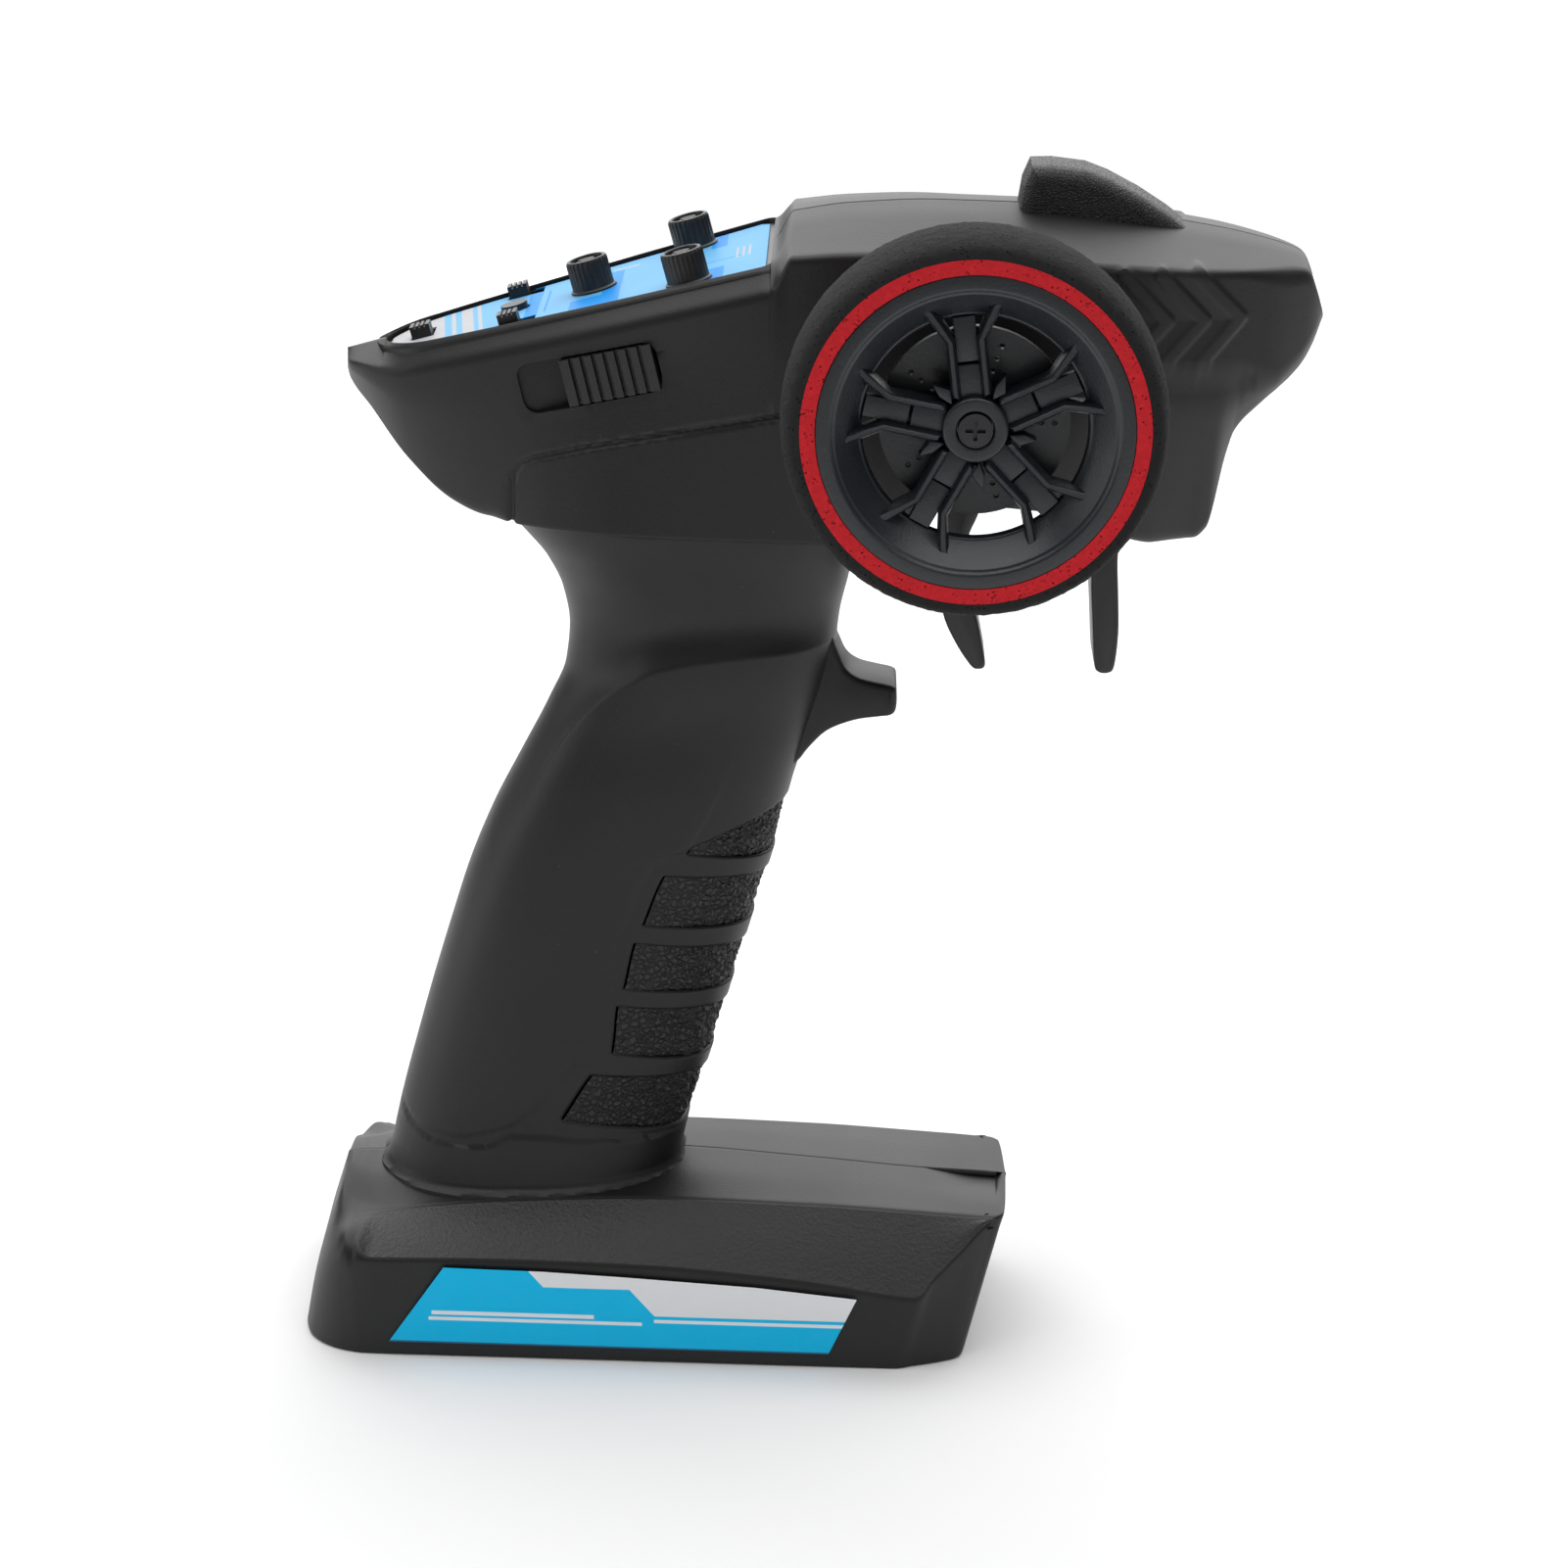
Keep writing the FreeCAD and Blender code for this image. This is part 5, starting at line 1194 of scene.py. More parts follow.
def join_parts(name, parts):
    """One mesh from several lists of vertices and faces."""
    points = np.concatenate([p for p, _ in parts])
    faces, start = [], 0
    for p, f in parts:
        faces += [[i + start for i in face] for face in f]
        start += len(p)
    mesh = bpy.data.meshes.new(name)
    mesh.from_pydata((points * MM).tolist(), [], faces)
    obj = bpy.data.objects.new(name, mesh)
    bpy.context.scene.collection.objects.link(obj)
    return edit(obj)


def bevel_levels(near, far, bevel):
    """Levels of a slab whose near and far edges are rounded over by bevel."""
    turn = np.radians([0, 30, 60, 90])
    near_side = [(near + bevel * (1 - math.sin(a)), bevel * (1 - math.cos(a))) for a in turn[::-1]]
    far_side = [(far - bevel * (1 - math.sin(a)), bevel * (1 - math.cos(a))) for a in turn]
    return near_side + far_side


print("levels of a rounded slab:", len(bevel_levels(0.0, 1.0, 0.2)))

# %% [markdown]
# The wheel copies a road wheel: a deep turned ring, five spokes of two bent rails with webs between, and
# a turned hub. The collar round its bush belongs to the housing and is turned in the same way.

# %% Wheel rim
SPOKE_TURNS = [26.0 + 72.0 * k for k in range(5)]
RAIL = [(4.4, 1.55), (13.6, 1.55), (16.6, 3.1), (18.9, 4.4), (19.5, 7.2), (17.6, 5.7), (13.4, 3.05),
        (6.0, 3.05), (5.0, 2.9)]
RIM_PROFILE = [(23.0, 19.4), (24.2, 19.4), (24.28, 19.0), (24.28, 1.3), (23.8, 0.9), (23.8, 0.2),
               (21.7, 0.12), (21.2, 0.6), (20.9, 0.7), (17.5, 4.5), (17.1, 4.7), (16.9, 5.2),
               (16.9, 6.4), (17.5, 6.6), (21.6, 4.4), (22.9, 5.0), (23.0, 19.4)]
COLLAR_WALL = 2.6
HUB_PROFILE = [(2.2, 5.8), (2.75, 5.8), (2.75, 2.7), (3.0, 2.45), (4.6, 2.45), (4.95, 2.8), (5.1, 6.2),
               (6.0, 6.6), (6.0, 7.4), (2.2, 7.4), (2.2, 5.8)]


def spoke_place(turn):
    """Placing function of one spoke: along it, across it, and depth behind the wheel's face."""
    c, s = math.cos(math.radians(turn)), math.sin(math.radians(turn))
    return lambda a, b, depth: (WHEEL[0] + a * c - b * s, WHEEL[1] + depth, WHEEL[2] + a * s + b * c)


def make_rim():
    """The rim's turned ring, its five spokes and its turned hub."""
    parts = []
    for turn in SPOKE_TURNS:
        place = spoke_place(turn)
        for side in (1, -1):
            rail = [(a, b * side) for a, b in RAIL]
            parts.append(slab_parts(rail, [(2.5, 0.52), (2.62, 0.36), (2.95, 0.24), (3.6, 0.0),
                                           (6.8, 0.0)], place))
        web = [(4.2, -1.7), (9.7, -1.7), (9.7, 1.7), (4.2, 1.7)]
        parts.append(slab_parts(web, bevel_levels(4.0, 6.4, 0.2), place))
        web = [(10.0, -1.7), (16.9, -1.7), (16.9, 1.7), (10.0, 1.7)]
        parts.append(slab_parts(web, bevel_levels(4.5, 6.4, 0.2), place))
        foot = [(4.0, 3.0), (6.3, 3.0), (7.4, 5.6), (5.4, 4.8)]
        parts.append(slab_parts(foot, bevel_levels(3.2, 6.4, 0.25), place))
    for turn in (-90.0, -20.0):
        place = spoke_place(turn)
        peg = [(6.4 + 1.0 * math.cos(a), 1.0 * math.sin(a))
               for a in np.linspace(0, 2 * math.pi, 16, endpoint=False)]
        parts.append(slab_parts(peg, bevel_levels(3.4, 6.4, 0.3), place))
    spokes = join_parts("wheel_spokes", parts)
    rim = edit(turned("wheel_rim_ring", rounded_profile(RIM_PROFILE, 0.25), 220), outward_from=None)
    hub = edit(turned("wheel_hub", rounded_profile(HUB_PROFILE, 0.2), 96))
    return rim, spokes, hub


def make_collar():
    """The housing's collar around the bush, a tube that reaches from the wheel's face into the head."""
    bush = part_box("steering_bush")
    bore = (bush[1].x - bush[0].x) / 2 / MM
    near, far = ((corner.y / MM - WHEEL[1]) for corner in bush)
    outer = bore + COLLAR_WALL
    return edit(turned("steering_collar", np.array([(bore, near + 0.3), (bore + 0.3, near),
                                                    (outer - 0.5, near), (outer, near + 0.5),
                                                    (outer, far), (bore, far), (bore, near + 0.3)]),
                       96))


rim, spokes, hub = make_rim()
hand_over(rim, "wheel", "blue_black_plastic", rim_black, "wheel_rim")
hand_over(spokes, "wheel", "blue_black_plastic", rim_black, "wheel_rim")
hand_over(hub, "wheel", "blue_black_plastic", rim_black, "wheel_rim")
hand_over(make_collar(), "housing", "shell", case_black, "head_right")
print("rim", len(rim.data.polygons), "spokes", len(spokes.data.polygons), "hub", len(hub.data.polygons))

# %% [markdown]
# Foam is a matt body full of open cells. Its material has small pores, painted dark as shade, that gather in
# patches, and the same patches lift the surface between them.

# %% Foam roughness and material


def two_noises(x, y, z):
    """Coarse and fine noise at one place, added."""
    place = Vector((x, y, z))
    return noise.noise(place * 0.9) * 0.6 + noise.noise(place * 2.3) * 0.7


foam_noise = np.vectorize(two_noises)


def foam_roughness(radius, depth, turn, size):
    """Noise of two sizes at the points of a turned surface, in millimetres."""
    return foam_noise(radius * np.cos(turn), depth, radius * np.sin(turn)) * size


def foam_material(name, colour, pore_shade, scale):
    """Open-cell foam: small pores of several sizes, painted dark as shade, in a matt body."""
    material, tree, shader = start_material(name, Roughness=0.95, Specular_IOR_Level=0.2)
    place = tree.nodes.new("ShaderNodeTexCoord").outputs["Object"]
    cells = node(tree, "ShaderNodeTexVoronoi", in_Scale=scale)
    tree.links.new(place, cells.inputs["Vector"])
    patches = node(tree, "ShaderNodeTexNoise", in_Scale=scale * 0.45, in_Detail=3.0)
    tree.links.new(place, patches.inputs["Vector"])
    pore = math_node(tree, "MULTIPLY_ADD", cells.outputs["Distance"], -3.2, 1.25, clamp=True)
    sparse = math_node(tree, "MULTIPLY_ADD", patches.outputs["Fac"], 6.0, -2.7, clamp=True)
    pits = math_node(tree, "MULTIPLY", pore, sparse)
    lively = mix_colour(tree, patches.outputs["Fac"], tuple(c * 0.78 for c in colour[:3]) + (1,),
                        tuple(min(1, c * 1.25) for c in colour[:3]) + (1,))
    # the pores are painted dark: painted shade inside the open cells
    tree.links.new(mix_colour(tree, pits, lively, pore_shade), shader.inputs["Base Color"])
    height = math_node(tree, "SUBTRACT", patches.outputs["Fac"], pits)
    bump(tree, shader, height, 0.0003)
    return material


# the second colour of each foam is the painted shade of its pores
black_foam = foam_material("black foam", (0.020, 0.020, 0.021, 1), (0.004, 0.004, 0.004, 1), 1500.0)
red_foam = foam_material("red foam", (0.62, 0.022, 0.030, 1), (0.12, 0.002, 0.004, 1), 1700.0)

print("foams:", black_foam.name, "and", red_foam.name)

# %% [markdown]
# The tyre's crown is a rounded profile turned about the shaft and roughened by noise in two sizes. It is
# cut clean where it meets the red ring, a thin liner that is glued into its face.

# %% Foam tyre and red ring
turn = np.linspace(0, math.pi, 22)
crown = np.stack([26.2 + 2.95 * np.sin(turn) ** 0.62, 0.2 + 9.5 * (1 - np.cos(turn))], 1)
crown = np.concatenate([[(26.0, 19.3), (26.0, 1.9), (26.16, 1.5), (26.16, 0.15)], crown[1:-1],
                        [(26.3, 19.3), (26.0, 19.3)]])
tyre = turned("tyre_foam", crown, 300, lambda r, d, t: foam_roughness(r, d, t, 0.16) * step(r, 26.1, 26.7))
edit(tyre, sharp=70)
hand_over(tyre, "wheel", "black_foam", black_foam, "foam_tyre")
ring_profile = rounded_profile([(24.3, 19.3), (24.3, 1.6), (23.82, 1.1), (23.82, 0.1), (26.14, 0.1),
                                (26.14, 1.4), (25.99, 1.8), (25.99, 19.3), (24.3, 19.3)], 0.18)
ring = turned("ring_foam", ring_profile, 300)
edit(ring, sharp=70)
hand_over(ring, "wheel", "red_foam", red_foam, "red_foam_ring")
print("tyre", len(tyre.data.polygons), "red ring", len(ring.data.polygons), "spokes",
      len(spokes.data.polygons))

# %% [markdown]
# The fin on the roof covers the antenna. It is a slab seen from the side, with its two edges rounded by
# levels that shrink the outline. Outlines with soft curves are first smoothed through their points.

# %% Antenna fin


def smooth_outline(points, spans=5):
    """Closed Catmull-Rom curve through the points: each span blends the tangents at its two ends."""
    p = np.asarray(points, float)
    before, after, beyond = np.roll(p, 1, 0), np.roll(p, -1, 0), np.roll(p, -2, 0)
    t = np.linspace(0, 1, spans, endpoint=False)[:, None, None]
    curve = 0.5 * (2 * p + (after - before) * t + (2 * before - 5 * p + 4 * after - beyond) * t ** 2
                   + (3 * p - before - 3 * after + beyond) * t ** 3)
    return curve.transpose(1, 0, 2).reshape(-1, 2)


def side_slab(points, levels):
    """Slab of a side-view outline (forward, height) with levels of (place across, inset)."""
    return slab_parts(points, levels, lambda a, b, depth: (a, depth, b))


FIN = [(53.0, 179.0), (52.7, 190.0), (53.4, 195.0), (54.6, 198.0), (58.0, 198.15), (63.4, 197.6),
       (67.0, 196.3), (72.0, 193.8), (76.7, 190.9), (80.2, 188.3), (84.0, 184.0), (84.0, 179.0)]
FIN_LEVELS = [(6.9, 2.3), (6.7, 1.5), (6.2, 0.8), (5.5, 0.3), (4.4, 0.05), (3.2, 0.0)]
fin = join_parts("fin_shell", [side_slab(FIN, FIN_LEVELS + [(-d, i) for d, i in FIN_LEVELS[::-1]])])
hand_over(fin, "housing", "shell", shoulder_black, "antenna_cover")
print(fin.name, len(fin.data.polygons), "faces")

# %% [markdown]
# The spur under the trigger keeps the middle finger in place. It grows out of the grip, so its rear
# points lie deep inside the grip's skin.

# %% Finger spur
SPUR = [(15.0, 94.0), (20.0, 98.4), (21.9, 100.9), (24.9, 104.0), (29.2, 105.9), (33.0, 106.6),
        (35.3, 107.0), (36.1, 108.2), (36.1, 111.0), (35.4, 112.0), (32.6, 112.6), (29.8, 113.3),
        (27.7, 114.8), (26.3, 117.6), (24.0, 122.0), (18.0, 123.0), (14.0, 112.0), (13.0, 102.0)]
spur = join_parts("spur_shell", [side_slab(smooth_outline(SPUR, 4), bevel_levels(-6.5, 6.5, 1.1))])
hand_over(spur, "housing", "shell", case_black, "grip_right", "grip_left")
print(spur.name, len(spur.data.polygons), "faces")

# %% [markdown]
# The index finger sits between two prongs, pulls for throttle and pushes for brake. Both prongs, the
# bridge that joins them and the barrel round the pivot pin are slabs of one lever.

# %% Trigger lever
REAR_PRONG = [(42.6, 136.0), (42.8, 130.0), (43.2, 124.4), (45.4, 119.6), (48.0, 115.8), (49.3, 115.2),
              (50.4, 115.9), (49.9, 119.0), (49.0, 123.0), (47.2, 130.0), (46.8, 137.0), (48.4, 142.0),
              (47.0, 146.0), (43.4, 143.0)]
FRONT_PRONG = [(66.2, 143.4), (66.9, 137.0), (67.0, 130.5), (67.5, 124.0), (68.1, 117.0), (68.9, 115.3),
               (70.6, 115.2), (71.5, 116.4), (71.9, 122.0), (71.6, 128.0), (71.2, 134.0), (71.1, 140.0),
               (69.2, 145.4)]
BRIDGE = [(45.0, 145.5), (50.0, 149.6), (54.0, 152.2), (60.0, 152.2), (64.5, 149.6), (69.0, 145.6),
          (67.4, 142.8), (58.6, 142.0), (48.0, 142.8)]
PIVOT = (57.0, 149.0)
barrel = [(PIVOT[0] + 4.6 * math.cos(a), PIVOT[1] + 4.6 * math.sin(a))
          for a in np.linspace(0, 2 * math.pi, 36, endpoint=False)]
trigger = join_parts("trigger_shell", [side_slab(smooth_outline(REAR_PRONG), bevel_levels(-5.9, 5.9, 0.7)),
                                       side_slab(smooth_outline(FRONT_PRONG), bevel_levels(-5.9, 5.9, 0.7)),
                                       side_slab(BRIDGE, bevel_levels(-5.7, 5.7, 0.5)),
                                       side_slab(barrel, bevel_levels(-5.95, 5.95, 0.3))])
hand_over(trigger, "trigger", "black_plastic", control_black, "trigger_lever")
print(trigger.name, len(trigger.data.polygons), "faces")

# %% [markdown]
# Three trim knobs stand square on the sloping panel. Each is a profile turned about the panel's normal,
# with a knurled rim made by a rectified sine and a slotted post sunk in its top.

# %% Knobs
PANEL_HOME = np.array([0.0, 0.0, FLOOR + PANEL_RISE])
PANEL_ALONG = np.array([math.cos(TILT), 0.0, math.sin(TILT)])
PANEL_NORMAL = np.array([-math.sin(TILT), 0.0, math.cos(TILT)])
KNOB = [(1.2, 0.30), (3.75, 0.30), (3.75, 0.55), (3.42, 0.75), (3.42, 4.95), (3.18, 5.45), (2.75, 5.5),
        (2.6, 5.3), (2.5, 4.4), (1.75, 4.4), (1.7, 5.1), (1.5, 5.25), (0.02, 5.25)]


def make_knob(name, s, y):
    """Profile (radius, height) turned about the panel's normal at (s, y), with teeth |sin| round the rim."""
    profile = rounded_profile(KNOB, 0.12, 2)
    turn = np.linspace(0, 2 * math.pi, 168, endpoint=False)[:, None]
    radius, height = profile[None, :, 0] + 0 * turn, profile[None, :, 1] + 0 * turn
    toothed = step(height, 0.9, 1.3) * step(height, 5.45, 5.1) * (radius > 3.0)
    radius = radius - 0.17 * toothed * np.abs(np.sin(turn * 14)) ** 0.7
    slot = (np.abs(radius * np.sin(turn)) < 0.42) & (radius < 1.72) & (height > 4.45)
    height = np.where(slot, 4.75, height)
    home = PANEL_HOME + PANEL_ALONG * s + np.array([0.0, y, 0.0])
    points = (home + PANEL_ALONG * (radius * np.cos(turn))[..., None] + PANEL_NORMAL * height[..., None]
              + np.array([0.0, 1.0, 0.0]) * (radius * np.sin(turn))[..., None])
    knob = mesh_from(name, points, grid_quads(*radius.shape, wrap_rows=True))
    return edit(knob, lambda bm: bmesh.ops.holes_fill(bm, edges=[e for e in bm.edges if e.is_boundary],
                                                      sides=0))


for tag, body, s, y in (("front_right", "knob_fr", 1.3, -14.0), ("front_left", "knob_fl", 1.3, 14.0),
                        ("middle", "knob_m", -15.0, 0.0)):
    hand_over(make_knob("knurled_" + tag, s, y), body, "black_plastic", control_black, "knob_" + tag)
print("knob centres on a panel tilted", round(math.degrees(TILT), 2), "degrees")

# %% [markdown]
# The panel and the base carry printed sheets. An image would be one way, but straight fields of colour
# are sharper as masks: a ramp along one direction that is 1 between two places. There is no lettering.

# %% Masks for printed sheets


def ramp_mask(tree, value, low, high, soft=0.00012):
    """1 where value lies between low and high, in metres, with soft edges."""
    rise = math_node(tree, "MULTIPLY_ADD", value, 1 / soft, 0.5 - low / soft, clamp=True)
    fall = math_node(tree, "MULTIPLY_ADD", value, -1 / soft, 0.5 + high / soft, clamp=True)
    return math_node(tree, "MULTIPLY", rise, fall)


def sheet_place(tree, along, home):
    """Distance along a direction from home, the distance across, and the height, from Object coordinates."""
    place = tree.nodes.new("ShaderNodeTexCoord").outputs["Object"]
    dot = node(tree, "ShaderNodeVectorMath", operation="DOT_PRODUCT")
    tree.links.new(place, dot.inputs[0])
    dot.inputs[1].default_value = along
    start = -sum(a * h for a, h in zip(along, home))
    split = tree.nodes.new("ShaderNodeSeparateXYZ")
    tree.links.new(place, split.inputs[0])
    return math_node(tree, "ADD", dot.outputs["Value"],
                     start), split.outputs["Y"], split.outputs["Z"], place


def both(tree, first, second):
    """1 where both masks are 1."""
    return math_node(tree, "MULTIPLY", first, second)


PALE_BLUE, BRIGHT_BLUE, OFF_WHITE = (0.11, 0.38, 0.66, 1), (0.001, 0.25, 0.70, 1), (0.42, 0.43, 0.45, 1)


print("print colours:", PALE_BLUE, BRIGHT_BLUE, OFF_WHITE)


# %% [markdown]
# The panel's sheet is pale blue with a white tail behind, and brighter blocks mark the controls. A
# little ink noise keeps the fields from looking like a flat fill.

# %% Panel print


def printed_panel():
    """Pale field with a white tail, thin stripes, brighter blocks at the controls and tick marks."""
    material, tree, shader = start_material("panel print", Roughness=0.5, Specular_IOR_Level=0.15)
    s, y, _, place = sheet_place(tree, tuple(PANEL_ALONG), tuple(PANEL_HOME * MM))
    lean = math_node(tree, "MULTIPLY_ADD", y, 0.10, s)
    colour = mix_colour(tree, ramp_mask(tree, lean, -0.080, -0.0400), PALE_BLUE, OFF_WHITE)
    for low, high in ((-0.0388, -0.0381), (-0.0371, -0.0352), (-0.0344, -0.0338)):
        stripe = both(tree, ramp_mask(tree, lean, low, high), ramp_mask(tree, y, -0.013, 0.013))
        colour = mix_colour(tree, stripe, colour, OFF_WHITE)
    blocks = [(-0.0186, -0.0104, -0.0190, -0.0060), (-0.0135, -0.0104, -0.0060, 0.0100),
              (0.0042, 0.0068, -0.0230, -0.0080), (0.0042, 0.0068, 0.0080, 0.0230),
              (-0.0262, -0.0240, -0.0150, 0.0150), (0.0020, 0.0100, -0.0030, -0.0024),
              (-0.0230, -0.0226, -0.0080, 0.0080)]
    for low, high, right_edge, left_edge in blocks:
        block = both(tree, ramp_mask(tree, s, low, high), ramp_mask(tree, y, right_edge, left_edge))
        colour = mix_colour(tree, block, colour, BRIGHT_BLUE)
    ticks = tree.nodes.new("ShaderNodeTexWave")
    ticks.inputs["Scale"].default_value = 320.0
    tree.links.new(place, ticks.inputs["Vector"])
    tick = both(tree, ramp_mask(tree, ticks.outputs["Fac"], 0.72, 2.0, 0.05),
                both(tree, ramp_mask(tree, s, 0.0082, 0.0112), ramp_mask(tree, y, -0.0040, 0.0040)))
    colour = mix_colour(tree, tick, colour, OFF_WHITE)
    ink = node(tree, "ShaderNodeTexNoise", in_Scale=900.0, in_Detail=2.0)
    tree.links.new(place, ink.inputs["Vector"])
    tree.links.new(mix_colour(tree, math_node(tree, "MULTIPLY", ink.outputs["Fac"], 0.05), colour,
                              OFF_WHITE), shader.inputs["Base Color"])
    bump(tree, shader, ink.outputs["Fac"], 0.00002)
    return material


panel_print = printed_panel()
print("print:", panel_print.name)

# %% [markdown]
# The label on the base is bright blue with a white field whose lower edge steps down towards the front.
# Along its bottom, next to the floor, it is painted darker as shade.

# %% Base print


def printed_base_label():
    """Blue field, a white field whose lower edge steps down, three fine lines and a painted shade along the
    bottom.
    """
    material, tree, shader = start_material("base print", Roughness=0.35, Specular_IOR_Level=0.12)
    x, _, z, place = sheet_place(tree, (1.0, 0.0, 0.0), (0.0, 0.0, 0.0))
    slant = math_node(tree, "MULTIPLY_ADD", z, 0.90, x)
    upper = math_node(tree, "MAXIMUM", both(tree, ramp_mask(tree, z, 0.0133, 1.0),
                                            ramp_mask(tree, slant, -0.0075, 1.0)),
                      both(tree, ramp_mask(tree, z, 0.0086, 1.0), ramp_mask(tree, slant, 0.0068, 1.0)))
    colour = mix_colour(tree, upper, (0.001, 0.58, 0.98, 1), (0.92, 0.93, 0.95, 1))
    for low, high, start, end in ((0.0078, 0.0085, -0.0380, -0.0110), (0.0068, 0.0074, -0.0385, -0.0030),
                                  (0.0074, 0.0080, -0.0010, 1.0)):
        line = both(tree, ramp_mask(tree, z, low, high), ramp_mask(tree, x, start, end))
        colour = mix_colour(tree, line, colour, (0.9, 0.95, 1.0, 1))
    # painted shade: the label's lowest 2.9 mm, next to the floor, is painted dark blue
    edge = ramp_mask(tree, z, 0.0029, 1.0)
    ink = node(tree, "ShaderNodeTexNoise", in_Scale=700.0, in_Detail=2.0)
    tree.links.new(place, ink.inputs["Vector"])
    colour = mix_colour(tree, math_node(tree, "MULTIPLY", ink.outputs["Fac"], 0.04), colour, OFF_WHITE)
    tree.links.new(mix_colour(tree, edge, (0.03, 0.16, 0.30, 1), colour), shader.inputs["Base Color"])
    bump(tree, shader, ink.outputs["Fac"], 0.00002)
    return material


base_print = printed_base_label()
print("print:", base_print.name)

# %% [markdown]
# Shafts, screws, contacts and springs are metal. Fine marks vary the roughness and a slow noise darkens
# the colour, so that no metal piece looks like chrome.

# %% Metal


def brushed_metal(name, colour, roughness):
    """Metal with fine turning marks in its roughness and a little tarnish in its colour."""
    material, tree, shader = start_material(name, Metallic=1.0)
    place = tree.nodes.new("ShaderNodeTexCoord").outputs["Object"]
    marks = node(tree, "ShaderNodeTexNoise", in_Scale=2500.0, in_Detail=3.0)
    tarnish = node(tree, "ShaderNodeTexNoise", in_Scale=220.0, in_Detail=2.0)
    for texture in (marks, tarnish):
        tree.links.new(place, texture.inputs["Vector"])
    dull = tuple(c * 0.6 for c in colour[:3]) + (1.0,)
    tree.links.new(mix_colour(tree, tarnish.outputs["Fac"], dull, colour), shader.inputs["Base Color"])
    tree.links.new(math_node(tree, "MULTIPLY_ADD", marks.outputs["Fac"], 0.25, roughness - 0.12),
                   shader.inputs["Roughness"])
    bump(tree, shader, marks.outputs["Fac"], 0.00002)
    return material


print("metal is ready")

# %% [markdown]
# Many construction solids already have the right shape: switches, boards, cells, screws, the shaft. They
# stay as they are and only get a finish. The table lists them by finish, and the last line tells whether
# a visible one was forgotten.

# %% Finishes of the carried-over pieces
board_green = moulded_plastic("board green", (0.015, 0.16, 0.055, 1), 0.45, grain=1200.0, depth=0.00008)
component_grey = moulded_plastic("component grey", (0.09, 0.09, 0.095, 1), 0.5)
window_black = moulded_plastic("window black", (0.012, 0.012, 0.014, 1), 0.12, depth=0.00001, marks=0.4)
cell_green = moulded_plastic("cell sleeve", (0.10, 0.22, 0.17, 1), 0.3)
steel = brushed_metal("steel", (0.58, 0.58, 0.60, 1), 0.32)
dark_steel = brushed_metal("blackened steel", (0.07, 0.07, 0.075, 1), 0.38)
can_metal = brushed_metal("shield tin", (0.70, 0.70, 0.72, 1), 0.30)
brass = brushed_metal("brass", (0.72, 0.55, 0.26, 1), 0.30)

FINISHES = {control_black: ["control_panel", "reverse_toggle_right", "reverse_toggle_left",
                            "power_toggle", "bind_button", "side_slider", "battery_tray",
                            "battery_door"], rim_black: ["wheel_disc"], panel_print: ["panel_label"],
            base_print: ["base_label"], board_green: ["panel_board", "main_board"],
            component_grey: ["trim_pot_front_right", "trim_pot_front_left", "trim_pot_middle",
                             "reverse_switch_right", "reverse_switch_left", "power_switch",
                             "bind_switch", "side_switch", "steering_pot", "trigger_pot"],
            window_black: ["indicator_window"],
            cell_green: ["battery_cell_1", "battery_cell_2", "battery_cell_3", "battery_cell_4"],
            steel: ["charge_jack", "steering_spring", "trigger_spring", "trigger_pin",
                    "battery_contacts", "steering_shaft"],
            dark_steel: ["case_screws", "tray_screws", "hub_screw"], can_metal: ["radio_module"],
            brass: ["antenna_element", "steering_bush"],}
dressed = set()
for finish, names in FINISHES.items():
    for name in names:
        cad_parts[name].data.materials.clear()
        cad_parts[name].data.materials.append(finish)
        dressed.add(name)
shown = {name for name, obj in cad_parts.items() if not obj.hide_render}
print("shown CAD nodes without a finish:", sorted(shown - dressed))

# %% [markdown]
# A plain pale floor carries the object's shadow. It is matt and near white, so it needs no texture.

# %% Floor
stage_mesh = bpy.data.meshes.new("floor")
FLOOR_REACH = 0.9
corners = [(x * FLOOR_REACH, y * FLOOR_REACH, 0) for x, y in ((-1, -1), (1, -1), (1, 1), (-1, 1))]
stage_mesh.from_pydata(corners, [], [(0, 1, 2, 3)])
floor = bpy.data.objects.new("floor", stage_mesh)
bpy.context.scene.collection.objects.link(floor)


def white_floor():
    """Matt near-white floor that reads as plain white to the camera but still holds the shadow."""
    material, _, shader = start_material("white floor", Roughness=0.9)
    shader.inputs["Base Color"].default_value = (0.86, 0.86, 0.86, 1)
    return material


floor.data.materials.append(white_floor())
print("floor", 2 * FLOOR_REACH, "m across")

# %% [markdown]
# The camera sees the world at strength 1, which is white. Every other ray sees it much dimmer, so the
# white backdrop doesn't wash out the black plastic.

# %% World
WORLD_FILL = 0.14
world = bpy.data.worlds.new("studio")
bpy.context.scene.world = world
world.use_nodes = True
tree = world.node_tree
background = tree.nodes["Background"]
paths = tree.nodes.new("ShaderNodeLightPath")
strength = math_node(tree, "MULTIPLY_ADD", paths.outputs["Is Camera Ray"], 1 - WORLD_FILL, WORLD_FILL)
background.inputs["Color"].default_value = (1, 1, 1, 1)
tree.links.new(strength, background.inputs["Strength"])
print("world fill", WORLD_FILL)

# %% [markdown]
# Four large soft lamps: one overhead, one behind that draws the bright rims on roof and tyre, and two
# weak ones that open the shadows on the left and in front.

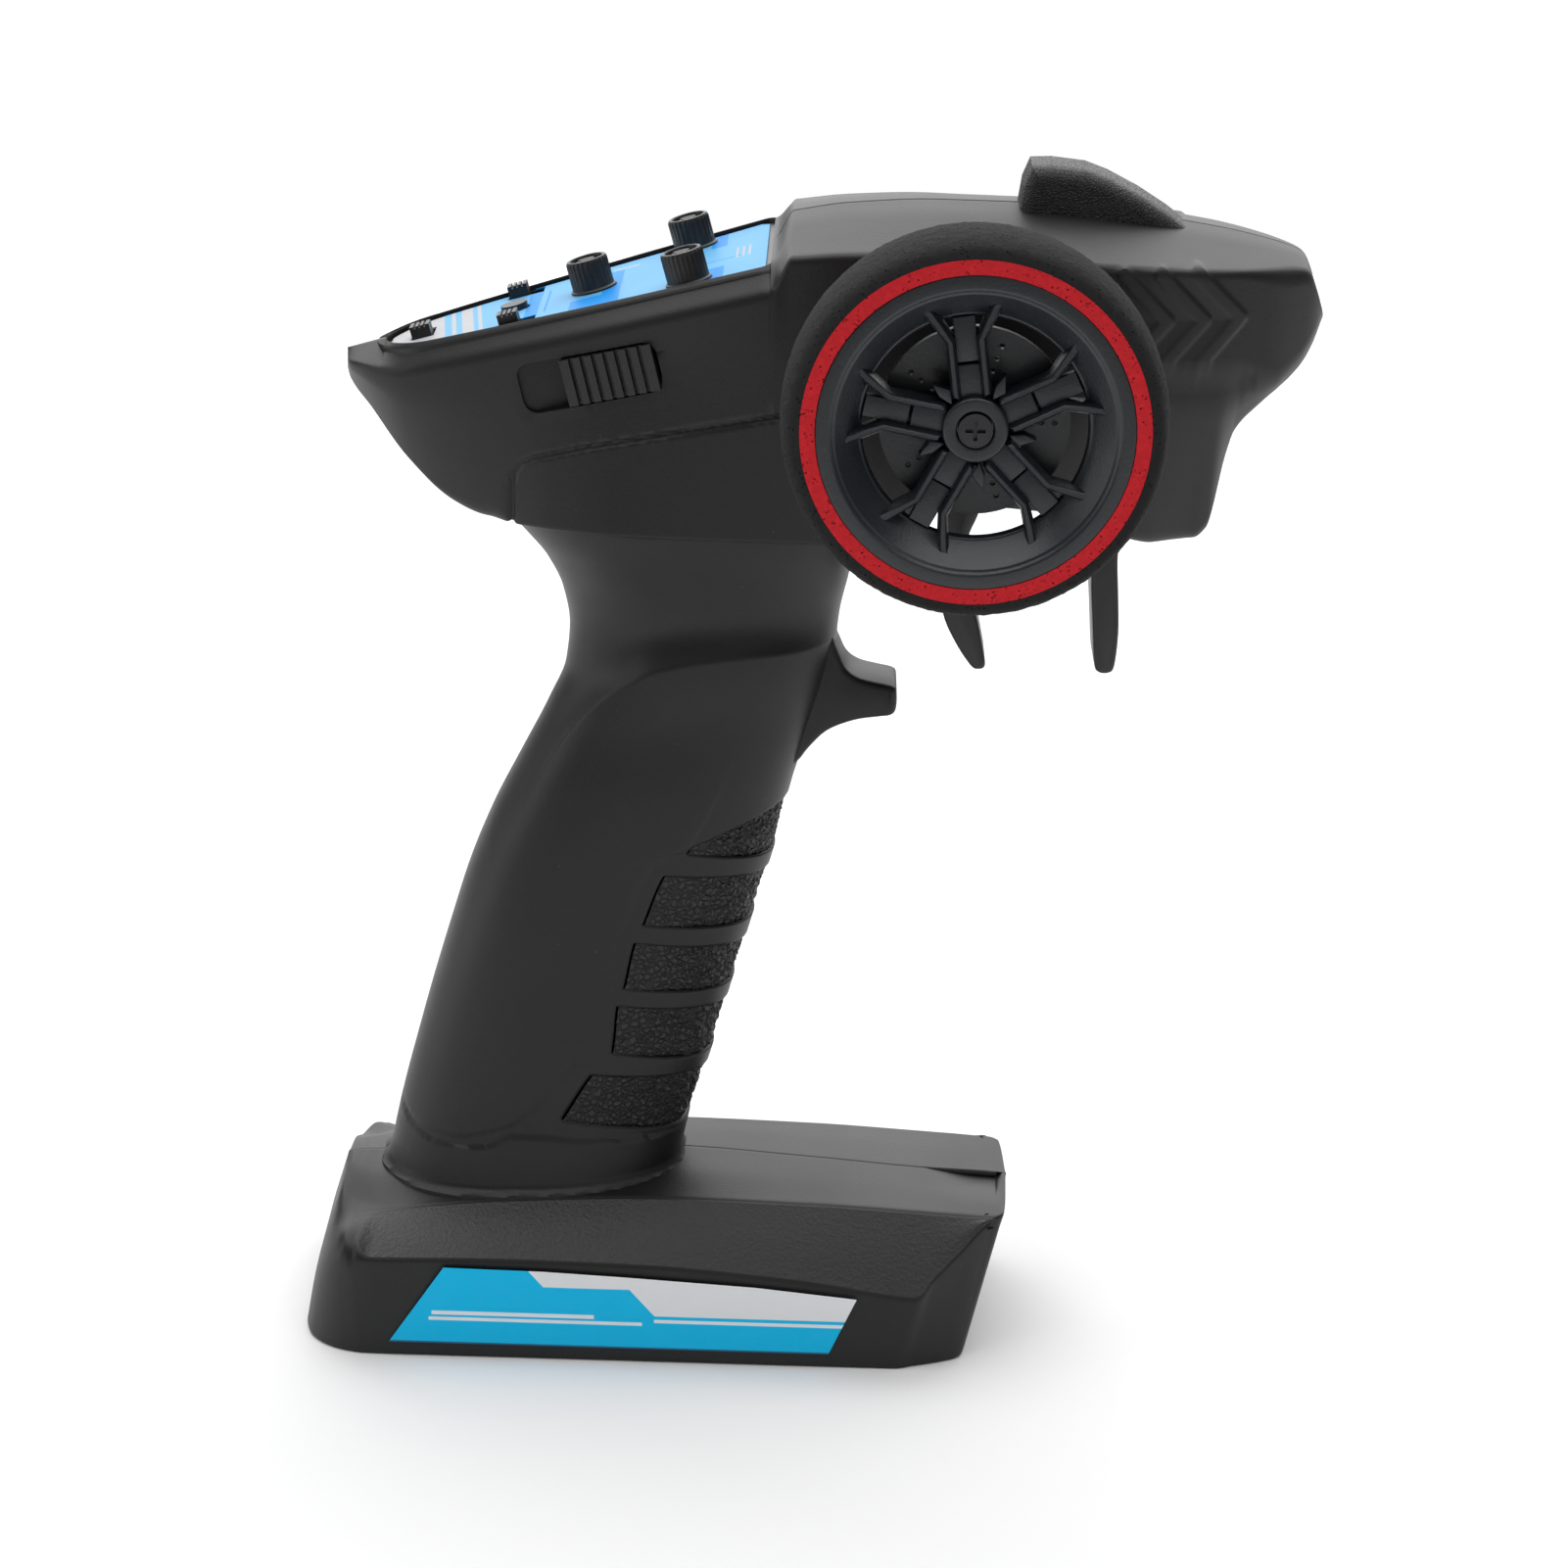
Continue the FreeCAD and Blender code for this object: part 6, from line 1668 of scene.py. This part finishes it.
# %% Lamps


def area_lamp(name, place, target, size, power):
    """A rectangular lamp that faces its target."""
    data = bpy.data.lights.new(name, "AREA")
    data.shape = "RECTANGLE"
    data.size, data.size_y = size
    data.energy = power
    lamp = bpy.data.objects.new(name, data)
    lamp.location = place
    lamp.rotation_euler = (Vector(target) - Vector(place)).to_track_quat("-Z", "Y").to_euler()
    bpy.context.scene.collection.objects.link(lamp)
    return lamp


area_lamp("overhead", (0.0, 0.25, 1.5), (0.0, 0.0, 0.0), (2.4, 2.2), 40.0)
area_lamp("behind", (0.0, 1.5, 0.75), (0.0, 0.0, 0.12), (2.8, 1.2), 21.0)
area_lamp("left side", (-1.1, -0.1, 0.35), (0.0, 0.0, 0.1), (0.5, 1.0), 3.0)
area_lamp("front fill", (0.5, -1.2, 0.7), (0.03, -0.02, 0.12), (0.8, 0.6), 1.2)

# %% [markdown]
# The camera looks at the right side from a little above. Its axes are built from azimuth, elevation and
# a slight roll, which is plainer to read than three Euler angles.

# %% Camera
DISTANCE = 0.717
TARGET = Vector((0.018, 0.0, 0.0927))
AZIMUTH, ELEVATION, ROLL = map(math.radians, (0.5, 18.3, 1.5))
back = Vector((math.sin(AZIMUTH) * math.cos(ELEVATION), -math.cos(AZIMUTH) * math.cos(ELEVATION),
               math.sin(ELEVATION)))
right = Vector((math.cos(AZIMUTH), math.sin(AZIMUTH), 0))
up = back.cross(right)
right_turned = right * math.cos(ROLL) + up * math.sin(ROLL)
up_turned = -right * math.sin(ROLL) + up * math.cos(ROLL)
camera_data = bpy.data.cameras.new("camera")
camera_data.sensor_width = 36.0
camera_data.lens = 98.9382
camera = bpy.data.objects.new("camera", camera_data)
turned = Matrix((right_turned, up_turned, back)).transposed().to_4x4()
camera.matrix_world = Matrix.Translation(TARGET + back * DISTANCE) @ turned
bpy.context.scene.collection.objects.link(camera)
bpy.context.scene.camera = camera
bpy.context.scene.view_settings.view_transform = "Standard"
print("camera at", tuple(round(v, 3) for v in camera.matrix_world.translation))
